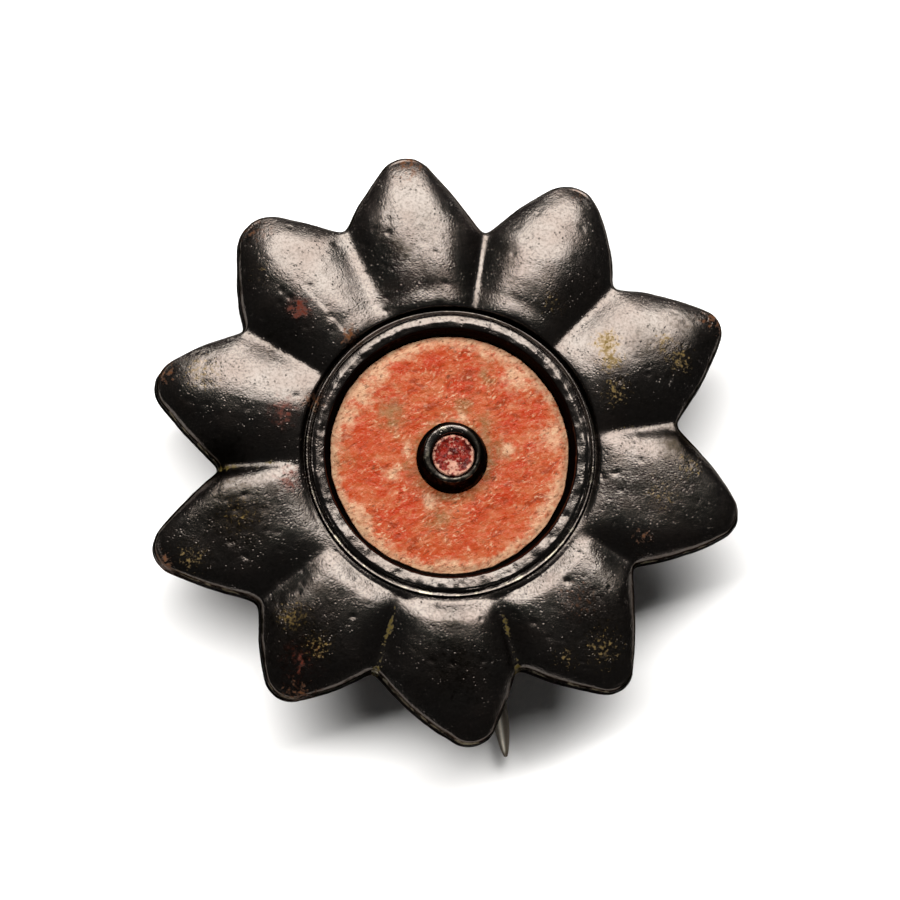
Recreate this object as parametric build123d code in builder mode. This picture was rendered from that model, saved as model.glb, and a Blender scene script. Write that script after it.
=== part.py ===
from build123d import *
import os
from math import acos, cos, degrees, radians, sin

# Rosette plate brooch, in millimetres. It lies face up: +Z is out of its face and -Y is the way the
# pin points. The origin is on the ring's axis, in the plane of the plate's flat back.

# Outline of the cast plate
petal_reach = 26.0  # ring axis to a nominal petal tip
notch_depth = 6.0  # how far a nominal notch cuts in from that reach
petal_breadth = 16.0  # breadth of a nominal petal's dome
nose_radius = 2.5  # rounding of a nominal tip
edge_thickness = 2.2  # plate at its edge
dome_rise = 2.9  # top of a nominal petal above the edge

# Ring system, from the inside out
enamel_radius = 10.3
enamel_gap = 0.05  # between the enamel and the metal round and under it
enamel_thickness = 1.6
floor_thickness = 1.7  # metal under the enamel
ring_lead_in = 0.35  # sloped wall between the enamel and the ring
ring_breadth = 1.2
ring_rise = 1.35  # ring's top above the enamel
ring_groove_breadth = 0.15
ring_groove_depth = 0.75  # below the ring's top
ridge_breadth = 0.35
ridge_drop = 0.55  # ridge's top below the ring's top
outer_groove_breadth = 0.4
outer_groove_depth = 1.6  # below the ring's top
outer_groove_flare = 0.9  # how far its outer side leans out by the height of the ring's top

# Collar and its inlay
collar_foot_radius = 3.0
collar_rim_radius = 2.4
collar_rise = 2.15  # rim above the enamel
collar_wall = 0.55  # at the rim
collar_cup_depth = 1.5
collar_place = (0.2, -0.33)  # the collar stands a little off the ring's axis
rim_rounding = 0.22
inlay_gap = 0.05
inlay_sink = 0.4  # inlay's top below the rim

# Pin, holder and catch
pin_diameter = 1.4
pin_offset = 2.05  # where the pin passes beside the ring's axis
pin_slant = 7.5  # degrees between the pin and -Y
pin_reach = 25.3  # from abreast of the ring's axis to the point
point_length = 3.6
point_radius = 0.12
cloth_gap = 4.4  # between the plate's back and the pin
seat_gap = 0.05  # round the pin in its holder
catch_gap = 0.1  # round the pin in its catch
holder_place = -17.0  # holder's far end along the pin
holder_length = 5.0
holder_breadth = 9.0
holder_end_wall = 1.0
catch_place = 11.0  # catch's near end along the pin
catch_length = 4.5
hook_wall = 1.0
hook_lip = 0.35  # lip's top above the pin's axis
root_depth = 0.8  # how far holder and catch run up into the plate

# One row for a petal, counted anticlockwise from +X. Bearings are in degrees. Reach, nose, breadth
# and rise are shares of the nominal sizes. The two fullnesses are the degrees by which the sides
# bulge. Notch and notch depth belong to the notch after the petal.
PETAL_COLUMNS = (
    "tip", "reach", "nose", "full_before", "full_after", "crest", "breadth", "rise", "notch", "notch_depth",
)
PETAL_ROWS = [
    (27.0, 1.010, 0.75, 9, 12, 27.0, 1.00, 1.00, 46.0, 0.95),
    (64.0, 1.000, 1.20, 17, 8, 64.0, 0.96, 1.05, 81.0, 1.10),
    (99.0, 1.010, 1.05, 5, 8, 98.5, 0.92, 1.02, 115.0, 0.80),
    (130.5, 1.015, 1.15, 3, 12, 131.0, 0.94, 1.04, 148.5, 0.93),
    (165.5, 0.995, 1.00, 8, 5, 166.0, 0.92, 0.98, 183.5, 0.93),
    (199.0, 1.020, 0.90, 7, 5, 200.5, 0.95, 0.96, 218.0, 0.93),
    (234.5, 0.970, 1.00, 10, 10, 235.0, 0.90, 0.95, 251.0, 1.10),
    (274.5, 0.955, 0.95, 13, 6, 271.0, 1.02, 1.00, 288.0, 1.18),
    (307.0, 0.950, 0.90, 8, 7, 307.5, 0.98, 0.97, 329.5, 1.30),
    (348.3, 0.975, 0.90, 11, 9, 348.5, 1.06, 0.98, 8.5, 1.07),
]
PETALS = [dict(zip(PETAL_COLUMNS, row)) for row in PETAL_ROWS]

# Cross-sections of a petal's dome from the ring axis to past its tip, as shares of the petal's own
# reach, half breadth and rise
DOME_COLUMNS = ("along", "breadth", "rise")
DOME_ROWS = [
    (0.30, 0.72, 0.60),
    (0.46, 0.90, 0.90),
    (0.60, 0.96, 1.00),
    (0.82, 0.74, 0.70),
    (0.93, 0.46, 0.40),
    (1.01, 0.16, 0.08),
]
DOME = [dict(zip(DOME_COLUMNS, row)) for row in DOME_ROWS]

# Radii and heights that follow from the sizes above
enamel_top = floor_thickness + enamel_gap + enamel_thickness
ring_top = enamel_top + ring_rise
well_radius = enamel_radius + enamel_gap
ring_inner = well_radius + ring_lead_in
ring_outer = ring_inner + ring_breadth
ridge_inner = ring_outer + ring_groove_breadth
ridge_outer = ridge_inner + ridge_breadth
core_radius = ridge_outer + outer_groove_breadth
ring_groove_floor = ring_top - ring_groove_depth
outer_groove_floor = ring_top - outer_groove_depth
ridge_top = ring_top - ridge_drop
clear_height = 4 * ring_top
pin_radius = pin_diameter / 2
hook_bore = pin_radius + catch_gap
hook_radius = hook_bore + hook_wall
stand = cloth_gap + pin_radius + hook_radius


def polar(bearing, reach):
    """Point at a bearing in degrees and a distance from the ring axis."""
    return Vector(reach * cos(radians(bearing)), reach * sin(radians(bearing)))


def notch_point(petal):
    """Bottom of the notch that comes after a petal."""
    return polar(petal["notch"], petal_reach - petal["notch_depth"] * notch_depth)


def side_start(centre, radius, tip, notch, fullness, turn):
    """Point and direction where a petal's side leaves the rounding of its tip.

    A straight side would touch the rounding. A full one leaves it earlier by the fullness and
    comes back to the notch in an arc. turn is 1 for the anticlockwise side and -1 for the other.
    """
    out = polar(tip, 1)
    across = polar(tip + 90 * turn, 1)
    back = notch - centre
    to_notch = degrees(acos(back.dot(out) / back.length))
    angle = radians(to_notch - degrees(acos(radius / back.length)) - fullness)
    start = centre + out * (radius * cos(angle)) + across * (radius * sin(angle))
    leaving = across * cos(angle) - out * sin(angle)
    return start, leaving


def rosette_outline():
    """Closed outline of the ten petals, made inside the caller's BuildLine."""
    for index, petal in enumerate(PETALS):
        before = notch_point(PETALS[index - 1])
        after = notch_point(petal)
        radius = nose_radius * petal["nose"]
        reach = petal_reach * petal["reach"]
        centre = polar(petal["tip"], reach - radius)
        right, right_way = side_start(centre, radius, petal["tip"], before, petal["full_before"], -1)
        left, left_way = side_start(centre, radius, petal["tip"], after, petal["full_after"], 1)
        TangentArc(right, before, tangent=right_way)
        ThreePointArc(right, polar(petal["tip"], reach), left)
        TangentArc(left, after, tangent=left_way)


# Cast plate with its petals, ring, sunken floor, pin holder and catch
with BuildPart() as plate:
    # Domes of the petals, lofted outward from the ring axis
    for petal in PETALS:
        half_breadth = petal_breadth / 2 * petal["breadth"]
        for section in DOME:
            place = polar(petal["crest"], petal_reach * petal["reach"] * section["along"])
            half = half_breadth * section["breadth"]
            crown = edge_thickness + dome_rise * petal["rise"] * section["rise"]
            across = Plane(place, x_dir=polar(petal["crest"] + 90, 1), z_dir=polar(petal["crest"], 1))
            with BuildSketch(across):
                with BuildLine():
                    Line((-half, 0), (half, 0))
                    Line((half, 0), (half, edge_thickness))
                    ThreePointArc((half, edge_thickness), (0, crown), (-half, edge_thickness))
                    Line((-half, edge_thickness), (-half, 0))
                make_face()
        loft()
    # Everything outside the outline goes, and the edge fills it to its own thickness
    with BuildSketch():
        with BuildLine():
            rosette_outline()
        make_face()
    extrude(amount=clear_height, mode=Mode.INTERSECT)
    with BuildSketch():
        with BuildLine():
            rosette_outline()
        make_face()
    extrude(amount=edge_thickness)
    # Well for the ring system, with a flared outer side
    with BuildSketch(Plane.XZ):
        with BuildLine():
            Polyline(
                (0, outer_groove_floor),
                (core_radius, outer_groove_floor),
                (core_radius + outer_groove_flare * clear_height / outer_groove_depth,
                 outer_groove_floor + clear_height),
                (0, outer_groove_floor + clear_height),
                close=True,
            )
        make_face()
    revolve(axis=Axis.Z, mode=Mode.SUBTRACT)
    # Floor, rounded ring, groove and fine ridge
    with BuildSketch(Plane.XZ):
        with BuildLine():
            Polyline(
                (0, 0),
                (core_radius, 0),
                (core_radius, outer_groove_floor),
                (ridge_outer, outer_groove_floor),
                (ridge_outer, ring_groove_floor),
            )
            ThreePointArc(
                (ridge_outer, ring_groove_floor),
                (ridge_inner + ridge_breadth / 2, ridge_top),
                (ridge_inner, ring_groove_floor),
            )
            Line((ridge_inner, ring_groove_floor), (ring_outer, ring_groove_floor))
            ThreePointArc(
                (ring_outer, ring_groove_floor),
                (ring_inner + ring_breadth / 2, ring_top),
                (ring_inner, ring_groove_floor),
            )
            Polyline(
                (ring_inner, ring_groove_floor),
                (well_radius, enamel_top),
                (well_radius, floor_thickness),
                (0, floor_thickness),
                (0, 0),
            )
        make_face()
    revolve(axis=Axis.Z)
    with BuildSketch(Plane.XY.offset(floor_thickness)):
        Circle(well_radius)
    extrude(amount=clear_height, mode=Mode.SUBTRACT)

# The pin's line runs under the plate, with local Z towards the point and local Y up
pin_line = Plane(
    (pin_offset, 0, -cloth_gap - pin_radius),
    x_dir=(cos(radians(pin_slant)), sin(radians(pin_slant)), 0),
    z_dir=(sin(radians(pin_slant)), -cos(radians(pin_slant)), 0),
)
root_height = cloth_gap + pin_radius + root_depth

# Holder: a block cast on the back, bored for the pin's head
with BuildPart() as holder:
    with BuildSketch(pin_line.offset(holder_place)):
        with Locations((0, root_height)):
            Rectangle(holder_breadth, root_height + hook_radius, align=(Align.CENTER, Align.MAX))
    extrude(amount=holder_length)
    with BuildSketch(pin_line.offset(holder_place + holder_end_wall)):
        Circle(pin_radius + seat_gap)
    extrude(amount=holder_length, mode=Mode.SUBTRACT)

# Catch: a stem with a hook under the pin, open at one side for the pin to spring in
with BuildPart() as catch:
    with BuildSketch(pin_line.offset(catch_place)):
        with Locations((0, root_height)):
            Rectangle(2 * hook_radius, root_height + hook_radius, align=(Align.CENTER, Align.MAX))
        Circle(hook_bore, mode=Mode.SUBTRACT)
        with Locations((-hook_bore, hook_lip)):
            Rectangle(
                hook_bore + 2 * hook_radius,
                2 * root_height,
                align=(Align.MIN, Align.MIN),
                mode=Mode.SUBTRACT,
            )
    extrude(amount=catch_length)

with BuildPart() as whole_plate:
    add(plate.part)
    add(holder.part)
    add(catch.part)

# Enamel: a flat ring of enamel that fills the sunken floor round the collar
with BuildPart() as enamel_disc:
    with BuildSketch(Plane.XY.offset(floor_thickness + enamel_gap)):
        Circle(enamel_radius)
        with Locations(collar_place):
            Circle(collar_foot_radius + enamel_gap, mode=Mode.SUBTRACT)
    extrude(amount=enamel_thickness)

# Collar: a tapered post with a shallow cup in its top
collar_top = enamel_top + collar_rise
collar_axis = Axis((*collar_place, 0), (0, 0, 1))
collar_section = Plane((*collar_place, 0), x_dir=(1, 0, 0), z_dir=(0, -1, 0))
cup_radius = collar_rim_radius - collar_wall
cup_floor = collar_top - collar_cup_depth
with BuildPart() as collar:
    with BuildSketch(collar_section):
        with BuildLine():
            Polyline(
                (0, floor_thickness + enamel_gap),
                (collar_foot_radius, floor_thickness + enamel_gap),
                (collar_foot_radius, enamel_top),
                (collar_rim_radius, collar_top),
                (cup_radius, collar_top),
                (cup_radius, cup_floor),
                (0, cup_floor),
                close=True,
            )
        make_face()
    revolve(axis=collar_axis)
    rim = collar.edges().filter_by(GeomType.CIRCLE).group_by(Axis.Z)[-1]
    fillet(rim, min(rim_rounding, collar_wall / 2.5))

# Inlay: the small disc of enamel in the collar's cup
with BuildPart() as collar_inlay:
    with BuildSketch(Plane((*collar_place, cup_floor + inlay_gap))):
        Circle(cup_radius - inlay_gap)
    extrude(amount=collar_cup_depth - inlay_gap - inlay_sink)

# Pin: a straight wire from its seat in the holder to a long point
pin_start = holder_place + holder_end_wall + seat_gap
taper_start = pin_reach - point_length
pin_section = Plane(pin_line.origin, x_dir=pin_line.z_dir, z_dir=pin_line.x_dir)
with BuildPart() as pin:
    with BuildSketch(pin_section):
        with BuildLine():
            Polyline(
                (pin_reach, 0),
                (pin_start, 0),
                (pin_start, pin_radius),
                (taper_start, pin_radius),
            )
            TangentArc((taper_start, pin_radius), (pin_reach, point_radius), tangent=(1, 0))
            Line((pin_reach, point_radius), (pin_reach, 0))
        make_face()
    revolve(axis=Axis(pin_line.origin, pin_line.z_dir))

whole_plate.part.label = "plate"
enamel_disc.part.label = "enamel_disc"
collar.part.label = "collar"
collar_inlay.part.label = "collar_inlay"
pin.part.label = "pin"

os.makedirs("parts", exist_ok=True)
for piece in (whole_plate, enamel_disc, collar, collar_inlay, pin):
    export_step(piece.part, f"parts/{piece.part.label}.step")
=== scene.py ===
"""Looks of the rosette plate brooch: cast, patinated bronze round a sunken disc of red enamel.

The shapes are worked out in millimetres, in the frame of the solids, and written to meshes in metres.
+Z is out of the brooch's face and the origin is on the ring's axis, in the plane of the plate's back.
"""

import logging
import math
from abc import ABC, abstractmethod
from dataclasses import dataclass, field
from enum import Enum
from typing import ClassVar

import bpy
import numpy as np
from mathutils import Matrix, Vector


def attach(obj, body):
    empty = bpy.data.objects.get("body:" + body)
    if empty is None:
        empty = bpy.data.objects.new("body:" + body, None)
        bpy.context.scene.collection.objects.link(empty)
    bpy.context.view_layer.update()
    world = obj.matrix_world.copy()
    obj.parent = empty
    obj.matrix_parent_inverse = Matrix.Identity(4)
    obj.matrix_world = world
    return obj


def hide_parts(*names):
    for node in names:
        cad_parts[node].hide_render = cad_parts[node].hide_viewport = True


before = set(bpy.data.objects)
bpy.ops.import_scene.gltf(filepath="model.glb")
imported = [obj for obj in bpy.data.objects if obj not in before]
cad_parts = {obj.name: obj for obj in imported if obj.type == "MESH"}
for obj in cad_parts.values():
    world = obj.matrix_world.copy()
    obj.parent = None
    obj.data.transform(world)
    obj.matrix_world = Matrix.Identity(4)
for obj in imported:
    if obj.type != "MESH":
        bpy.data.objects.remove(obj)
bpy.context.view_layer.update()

MM = 0.001
TURN = 2 * math.pi
Colour = tuple[float, float, float, float]
log = logging.getLogger("brooch")


class Slot(Enum):
    """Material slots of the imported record."""

    PATINA = "patinated_bronze"
    ENAMEL = "red_enamel"
    INLAY = "dark_red_enamel"
    PIN = "worn_bronze"


class Mark(Enum):
    """What age has left on a surface, and where shade, highlights and reflections are painted, named
    for the mesh attribute that says where it is.
    """

    DIRT = "dirt"
    # Bare metal, and painted highlights and reflections
    GILT_AND_HIGHLIGHT = "gilt_and_highlight"
    PALE = "pale"
    # Soot, and painted shade
    SOOT_AND_SHADE = "soot_and_shade"
    OCHRE = "ochre"
    RUST = "rust"
    # Dust, and painted shade where dust blots darken whole petals
    DUST_AND_SHADE = "dust_and_shade"
    RED = "red"


# Numbers over the plane


def smooth_step(value: np.ndarray, low: float, high: float) -> np.ndarray:
    """Rise smoothly from 0 at low to 1 at high."""
    share = np.clip((value - low) / (high - low), 0.0, 1.0)
    return share * share * (3 - 2 * share)


def smooth_curve(value: np.ndarray, places: tuple[float, ...], heights: tuple[float, ...]) -> np.ndarray:
    """Read a curve that runs smoothly through its points.

    Args:
        value: Where to read the curve.
        places: Places of the points, rising.
        heights: Heights of the points.

    Returns:
        Height of the curve at each value, level beyond its ends.
    """
    x, y = np.array(places), np.array(heights)
    slope = np.gradient(y, x)
    inside = np.clip(value, x[0], x[-1])
    piece = np.clip(np.searchsorted(x, inside, side="right") - 1, 0, len(x) - 2)
    width = x[piece + 1] - x[piece]
    t = (inside - x[piece]) / width
    start = (1 + 2 * t) * (1 - t) ** 2 * y[piece] + t * (1 - t) ** 2 * width * slope[piece]
    end = t**2 * (3 - 2 * t) * y[piece + 1] + t**2 * (t - 1) * width * slope[piece + 1]
    return start + end


def hump(value: np.ndarray, middle: float, width: float | np.ndarray) -> np.ndarray:
    """Bell curve that is 1 at its middle and about a third one width away from it."""
    return np.exp(-(((value - middle) / width) ** 2))


def between(ends: tuple[float, float], share: float | np.ndarray) -> float | np.ndarray:
    """Value that goes from the first end to the second as the share goes from 0 to 1."""
    return ends[0] + (ends[1] - ends[0]) * share


def upper_share(y: np.ndarray, radius: np.ndarray) -> np.ndarray:
    """How far up the brooch each bearing lies, from 0 at the lowest to 1 at the highest."""
    return np.clip(0.5 + 0.5 * y / np.maximum(radius, 1), 0, 1)


def evenly_spaced(line: np.ndarray, count: int) -> tuple[np.ndarray, np.ndarray]:
    """Points at equal steps along a line, short of its end.

    Args:
        line: Closely spaced points.
        count: Number of points wanted.

    Returns:
        First and second coordinate of each point.
    """
    run = np.concatenate([[0], np.cumsum(np.hypot(*np.diff(line, axis=0).T))])
    stops = np.linspace(0, run[-1], count, endpoint=False)
    return np.interp(stops, run, line[:, 0]), np.interp(stops, run, line[:, 1])


@dataclass(frozen=True)
class Grain:
    """Seeded smooth noise over the plane, for the unevenness of cast and hammered surfaces.

    Size is the distance between its largest bumps in millimetres, and amount is their height or
    strength. Each further octave adds bumps half as large and half as strong as the one before.
    """

    seed: int
    size: float
    amount: float = 1.0
    octaves: int = 1
    cells: ClassVar[int] = 256

    def layer(self, x: np.ndarray, y: np.ndarray, octave: int) -> np.ndarray:
        """Bumps of one size, between -1 and 1.

        Args:
            x: First coordinate of each point, in millimetres.
            y: Second coordinate of each point, in millimetres.
            octave: 0 for the largest bumps, 1 for those half as large, and so on.

        Returns:
            One value for each point.
        """
        lattice = np.random.default_rng(self.seed + octave).uniform(-1, 1, (self.cells, self.cells))
        size = self.size * 0.5**octave
        u, v = x / size, y / size
        column, row = np.floor(u).astype(int), np.floor(v).astype(int)
        f, g = u - column, v - row
        f, g = f * f * (3 - 2 * f), g * g * (3 - 2 * g)

        def corner(right: int, up: int) -> np.ndarray:
            """Lattice value at one corner of each point's cell."""
            return lattice[(column + right) % self.cells, (row + up) % self.cells]

        low = corner(0, 0) * (1 - f) + corner(1, 0) * f
        high = corner(0, 1) * (1 - f) + corner(1, 1) * f
        return low * (1 - g) + high * g

    def at(self, x: np.ndarray, y: np.ndarray) -> np.ndarray:
        """Unevenness at each point."""
        return self.amount * sum(0.5**octave * self.layer(x, y, octave) for octave in range(self.octaves))

    def patches(self, x: np.ndarray, y: np.ndarray, level: float) -> np.ndarray:
        """Unevenness about a level, kept between 0 and 1."""
        return np.clip(level + self.at(x, y), 0, 1)


@dataclass(frozen=True)
class Pits:
    """Small round pits strewn at random over a disc, in millimetres."""

    count: int
    reach: float
    radius: tuple[float, float]
    depth: tuple[float, float]
    seed: int

    def at(self, x: np.ndarray, y: np.ndarray) -> np.ndarray:
        """Depth below the surface at each point.

        Args:
            x: First coordinate of each point.
            y: Second coordinate of each point.

        Returns:
            One value for each point.
        """
        random = np.random.default_rng(self.seed)
        total = np.zeros_like(x, dtype=float)
        for _ in range(self.count):
            bearing, out = random.uniform(0, TURN), self.reach * math.sqrt(random.uniform(0, 1))
            radius, deep = random.uniform(*self.radius), random.uniform(*self.depth)
            stretch = random.uniform(0.6, 1.0)
            dx, dy = x - out * math.cos(bearing), y - out * math.sin(bearing)
            near = (np.abs(dx) < 2.2 * radius) & (np.abs(dy) < 2.2 * radius)
            if near.any():
                total[near] += deep * np.exp(-2 * (dx[near] ** 2 + (dy[near] / stretch) ** 2) / radius**2)
        return total


# Sizes that several pieces share


@dataclass(frozen=True)
class Seat:
    """Where the enamel, the collar and the collar's inlay sit, in millimetres.

    The pieces keep the gap from what holds them.
    """

    gap: float = 0.05
    enamel_radius: float = 10.3
    enamel_floor: float = 1.75
    enamel_top: float = 3.35
    collar: tuple[float, float] = (0.2, -0.33)
    collar_foot: float = 3.0
    cup_radius: float = 1.85
    cup_floor: float = 4.0

    @property
    def well_radius(self) -> float:
        """Radius of the well that the enamel fills."""
        return self.enamel_radius + self.gap


# Meshes


def add_piece(name: str, points: np.ndarray, faces: list[tuple[int, ...]]) -> bpy.types.Object:
    """Make a mesh object with smooth faces and link it to the scene.

    Args:
        name: Name of the piece.
        points: Points in millimetres.
        faces: Corners of each face, by number.

    Returns:
        The new object.
    """
    mesh = bpy.data.meshes.new(name)
    mesh.from_pydata((points * MM).tolist(), [], faces)
    mesh.shade_smooth()
    piece = bpy.data.objects.new(name, mesh)
    bpy.context.scene.collection.objects.link(piece)
    return piece


@dataclass
class Skin:
    """Rings of points that close into one piece, in millimetres.

    Without a start and an end the last ring closes on the first. A flipped skin has its rings read
    the other way round, so that its faces look outwards.
    """

    name: str
    rings: np.ndarray
    start: tuple[float, float, float] | None = None
    end: tuple[float, float, float] | None = None
    marks: dict[Mark, np.ndarray] = field(default_factory=dict)
    flipped: bool = False

    def faces(self) -> list[tuple[int, ...]]:
        """Faces between the rings, and the fans or the seam that close them.

        Returns:
            Corners of each face, by number.
        """
        count, around = self.rings.shape[:2]
        index = np.arange(count * around).reshape(count, around)
        turned = np.roll(index, -1, axis=1)
        here, after, here_next, after_next = index[:-1], index[1:], turned[:-1], turned[1:]
        if self.start is None:
            here, here_next = index, turned
            after, after_next = np.roll(index, -1, axis=0), np.roll(turned, -1, axis=0)
        found = np.stack([here, after, after_next, here_next], axis=-1).reshape(-1, 4).tolist()
        if self.start is not None:
            first = count * around
            found += [(first, int(a), int(b)) for a, b in zip(index[0], turned[0])]
            found += [(first + 1, int(b), int(a)) for a, b in zip(index[-1], turned[-1])]
        return found

    def build(self) -> bpy.types.Object:
        """Make the piece and store the marks on its points.

        Returns:
            The piece.
        """
        rings = self.rings[:, ::-1] if self.flipped else self.rings
        points = rings.reshape(-1, 3)
        if self.start is not None:
            points = np.vstack([points, [self.start], [self.end]])
        piece = add_piece(self.name, points, self.faces())
        for mark, value in self.marks.items():
            value = value[:, ::-1] if self.flipped else value
            flat = np.zeros(len(points), np.float32)
            flat[: value.size] = value.reshape(-1)
            if self.start is not None:
                flat[-2], flat[-1] = value[0].mean(), value[-1].mean()
            piece.data.attributes.new(mark.value, "FLOAT", "POINT").data.foreach_set("value", flat)
        return piece


def turned_rings(profile: list[tuple[float, float]], around: int) -> np.ndarray:
    """Rings of points from a profile turned about Z.

    Args:
        profile: Radius and height of each ring.
        around: Points in a ring.

    Returns:
        Points as rings by points by 3.
    """
    angle = np.linspace(0, TURN, around, endpoint=False)
    radius, height = np.array(profile).T
    x, y = np.outer(radius, np.cos(angle)), np.outer(radius, np.sin(angle))
    return np.stack([x, y, np.broadcast_to(height[:, None], x.shape)], axis=-1)


def around_mean(rings: np.ndarray) -> np.ndarray:
    """Each value taken together with its two neighbours in the ring."""
    return (np.roll(rings, 1, axis=1) + 2 * rings + np.roll(rings, -1, axis=1)) / 4


def dress(piece: bpy.types.Object, material: bpy.types.Material, node: str) -> None:
    """Give a piece its material and say which solid it stands for.

    Args:
        piece: The piece.
        material: Its material.
        node: The solid that it replaces.
    """
    piece.data.materials.append(material)
    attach(piece, "root")
    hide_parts(node)
    log.info("%s: %d faces, replaces %s", piece.name, len(piece.data.polygons), node)


class Part(ABC):
    """A piece of the brooch: its slot, the solid that it stands for and how it is built."""

    slot: ClassVar[Slot]
    node: ClassVar[str]

    @abstractmethod
    def build(self) -> bpy.types.Object:
        """Build the piece."""

    def make(self, material: bpy.types.Material) -> None:
        """Build the piece and dress it in its material."""
        dress(self.build(), material, self.node)


# Shader node groups


class Wiring:
    """Adds nodes to one node tree and joins them."""

    def __init__(self, tree: bpy.types.NodeTree) -> None:
        """Keep the tree that the nodes go into."""
        self.tree = tree

    def feed(self, node: bpy.types.Node, inputs: dict) -> bpy.types.Node:
        """Join or set a node's inputs.

        Args:
            node: The node.
            inputs: A value or another node's output for each input, by its name or number.

        Returns:
            The same node.
        """
        for key, value in inputs.items():
            if isinstance(value, bpy.types.NodeSocket):
                self.tree.links.new(value, node.inputs[key])
            else:
                node.inputs[key].default_value = value
        return node

    def node(self, kind: str, inputs: dict | None = None, **settings: object) -> bpy.types.Node:
        """Add a node.

        Args:
            kind: Blender's name of the node's type.
            inputs: A value or another node's output for each input.
            **settings: Properties of the node.

        Returns:
            The new node.
        """
        made = self.tree.nodes.new(kind)
        for key, value in settings.items():
            setattr(made, key, value)
        return self.feed(made, inputs or {})

    def place(self) -> bpy.types.NodeSocket:
        """Place on the object, in metres."""
        return self.node("ShaderNodeTexCoord").outputs["Object"]

    def mark(self, mark: Mark) -> bpy.types.NodeSocket:
        """Strength of a mark."""
        return self.node("ShaderNodeAttribute", attribute_name=mark.value).outputs["Fac"]

    def sum(self, operation: str, *values: object) -> bpy.types.NodeSocket:
        """Result of a Math node on one, two or three values."""
        return self.node("ShaderNodeMath", dict(enumerate(values)), operation=operation).outputs[0]

    def mix(self, share: object, first: object, second: object) -> bpy.types.NodeSocket:
        """Colour between first and second by share."""
        return self.node("ShaderNodeMix", {0: share, 6: first, 7: second}, data_type="RGBA").outputs[2]

    def spread(
        self, value: object, low: object, high: object, start: float = 0.0, end: float = 1.0
    ) -> bpy.types.NodeSocket:
        """Value spread smoothly from low and high to start and end."""
        inputs = {"Value": value, "From Min": low, "From Max": high, "To Min": start, "To Max": end}
        return self.node("ShaderNodeMapRange", inputs, interpolation_type="SMOOTHSTEP").outputs[0]

    def group(self, tree: bpy.types.NodeTree, **inputs: object) -> bpy.types.NodeSocket:
        """Place a node group with its inputs and return its output."""
        return self.feed(self.node("ShaderNodeGroup", node_tree=tree), inputs).outputs[0]


FLOAT, COLOR, VECTOR = "NodeSocketFloat", "NodeSocketColor", "NodeSocketVector"


@dataclass
class Effect:
    """A shader node group in the making: named inputs and one output."""

    name: str
    inputs: dict[str, tuple[str, object]]
    output: tuple[str, str]

    def start(self) -> tuple[Wiring, bpy.types.bpy_prop_collection]:
        """Make the group's tree, sockets and first and last node.

        Returns:
            Wiring of the tree, and the outputs of its first node.
        """
        tree = bpy.data.node_groups.new(self.name, "ShaderNodeTree")
        for label, (kind, value) in self.inputs.items():
            socket = tree.interface.new_socket(label, in_out="INPUT", socket_type=kind)
            if value is not None:
                socket.default_value = value
        tree.interface.new_socket(self.output[0], in_out="OUTPUT", socket_type=self.output[1])
        wiring = Wiring(tree)
        self.last = wiring.node("NodeGroupOutput")
        return wiring, wiring.node("NodeGroupInput").outputs

    def finish(self, wiring: Wiring, value: bpy.types.NodeSocket) -> bpy.types.NodeTree:
        """Join the result to the last node and return the tree."""
        wiring.tree.links.new(value, self.last.inputs[0])
        return wiring.tree


def build_speckle() -> bpy.types.NodeTree:
    """Group for a broken-up mask: noise cut at a level that Cover lowers. Size is in millimetres.

    Returns:
        The group, with the output Mask.
    """
    effect = Effect(
        "speckle",
        {"Place": (VECTOR, None), "Size": (FLOAT, 1.0), "Cover": (FLOAT, 0.5), "Softness": (FLOAT, 0.08)},
        ("Mask", FLOAT),
    )
    wiring, given = effect.start()
    scale = wiring.sum("DIVIDE", 1 / MM, given["Size"])
    inputs = {"Vector": given["Place"], "Scale": scale, "Detail": 7.0, "Roughness": 0.65}
    noise = wiring.node("ShaderNodeTexNoise", inputs).outputs[0]
    level = wiring.sum("MULTIPLY_ADD", given["Cover"], -0.46, 0.74)
    low = wiring.sum("SUBTRACT", level, given["Softness"])
    high = wiring.sum("ADD", level, given["Softness"])
    return effect.finish(wiring, wiring.spread(noise, low, high))


def build_pitting() -> bpy.types.NodeTree:
    """Group for the fine relief of an old surface: grit, soft unevenness and pits in some places.

    Returns:
        The group, with the output Height.
    """
    effect = Effect(
        "pitting",
        {"Place": (VECTOR, None), "Size": (FLOAT, 0.5), "Pits": (FLOAT, 0.5), "Grit": (FLOAT, 0.3)},
        ("Height", FLOAT),
    )
    wiring, given = effect.start()
    scale = wiring.sum("DIVIDE", 1 / MM, given["Size"])
    inputs = {"Vector": given["Place"], "Scale": wiring.sum("MULTIPLY", scale, 0.3), "Detail": 3.0}
    places = wiring.spread(wiring.node("ShaderNodeTexNoise", inputs).outputs[0], 0.42, 0.6)
    inputs = {"Vector": given["Place"], "Scale": wiring.sum("MULTIPLY", scale, 2.4), "Detail": 3.0}
    grit = wiring.node("ShaderNodeTexNoise", inputs).outputs[0]
    inputs = {"Vector": given["Place"], "Scale": scale, "Detail": 3.0, "Roughness": 0.6}
    soft = wiring.node("ShaderNodeTexNoise", inputs).outputs[0]
    inputs = {"Vector": given["Place"], "Scale": scale}
    cells = wiring.node("ShaderNodeTexVoronoi", inputs).outputs["Distance"]
    pits = wiring.sum("MULTIPLY", wiring.spread(cells, 0.34, 0.06), places)
    height = wiring.sum("MULTIPLY_ADD", grit, given["Grit"], wiring.sum("MULTIPLY", soft, 0.35))
    depth = wiring.sum("MULTIPLY", pits, given["Pits"])
    height = wiring.sum("MULTIPLY", height, wiring.spread(places, 0, 1, 0.6, 1.0))
    return effect.finish(wiring, wiring.sum("SUBTRACT", height, depth))


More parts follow.
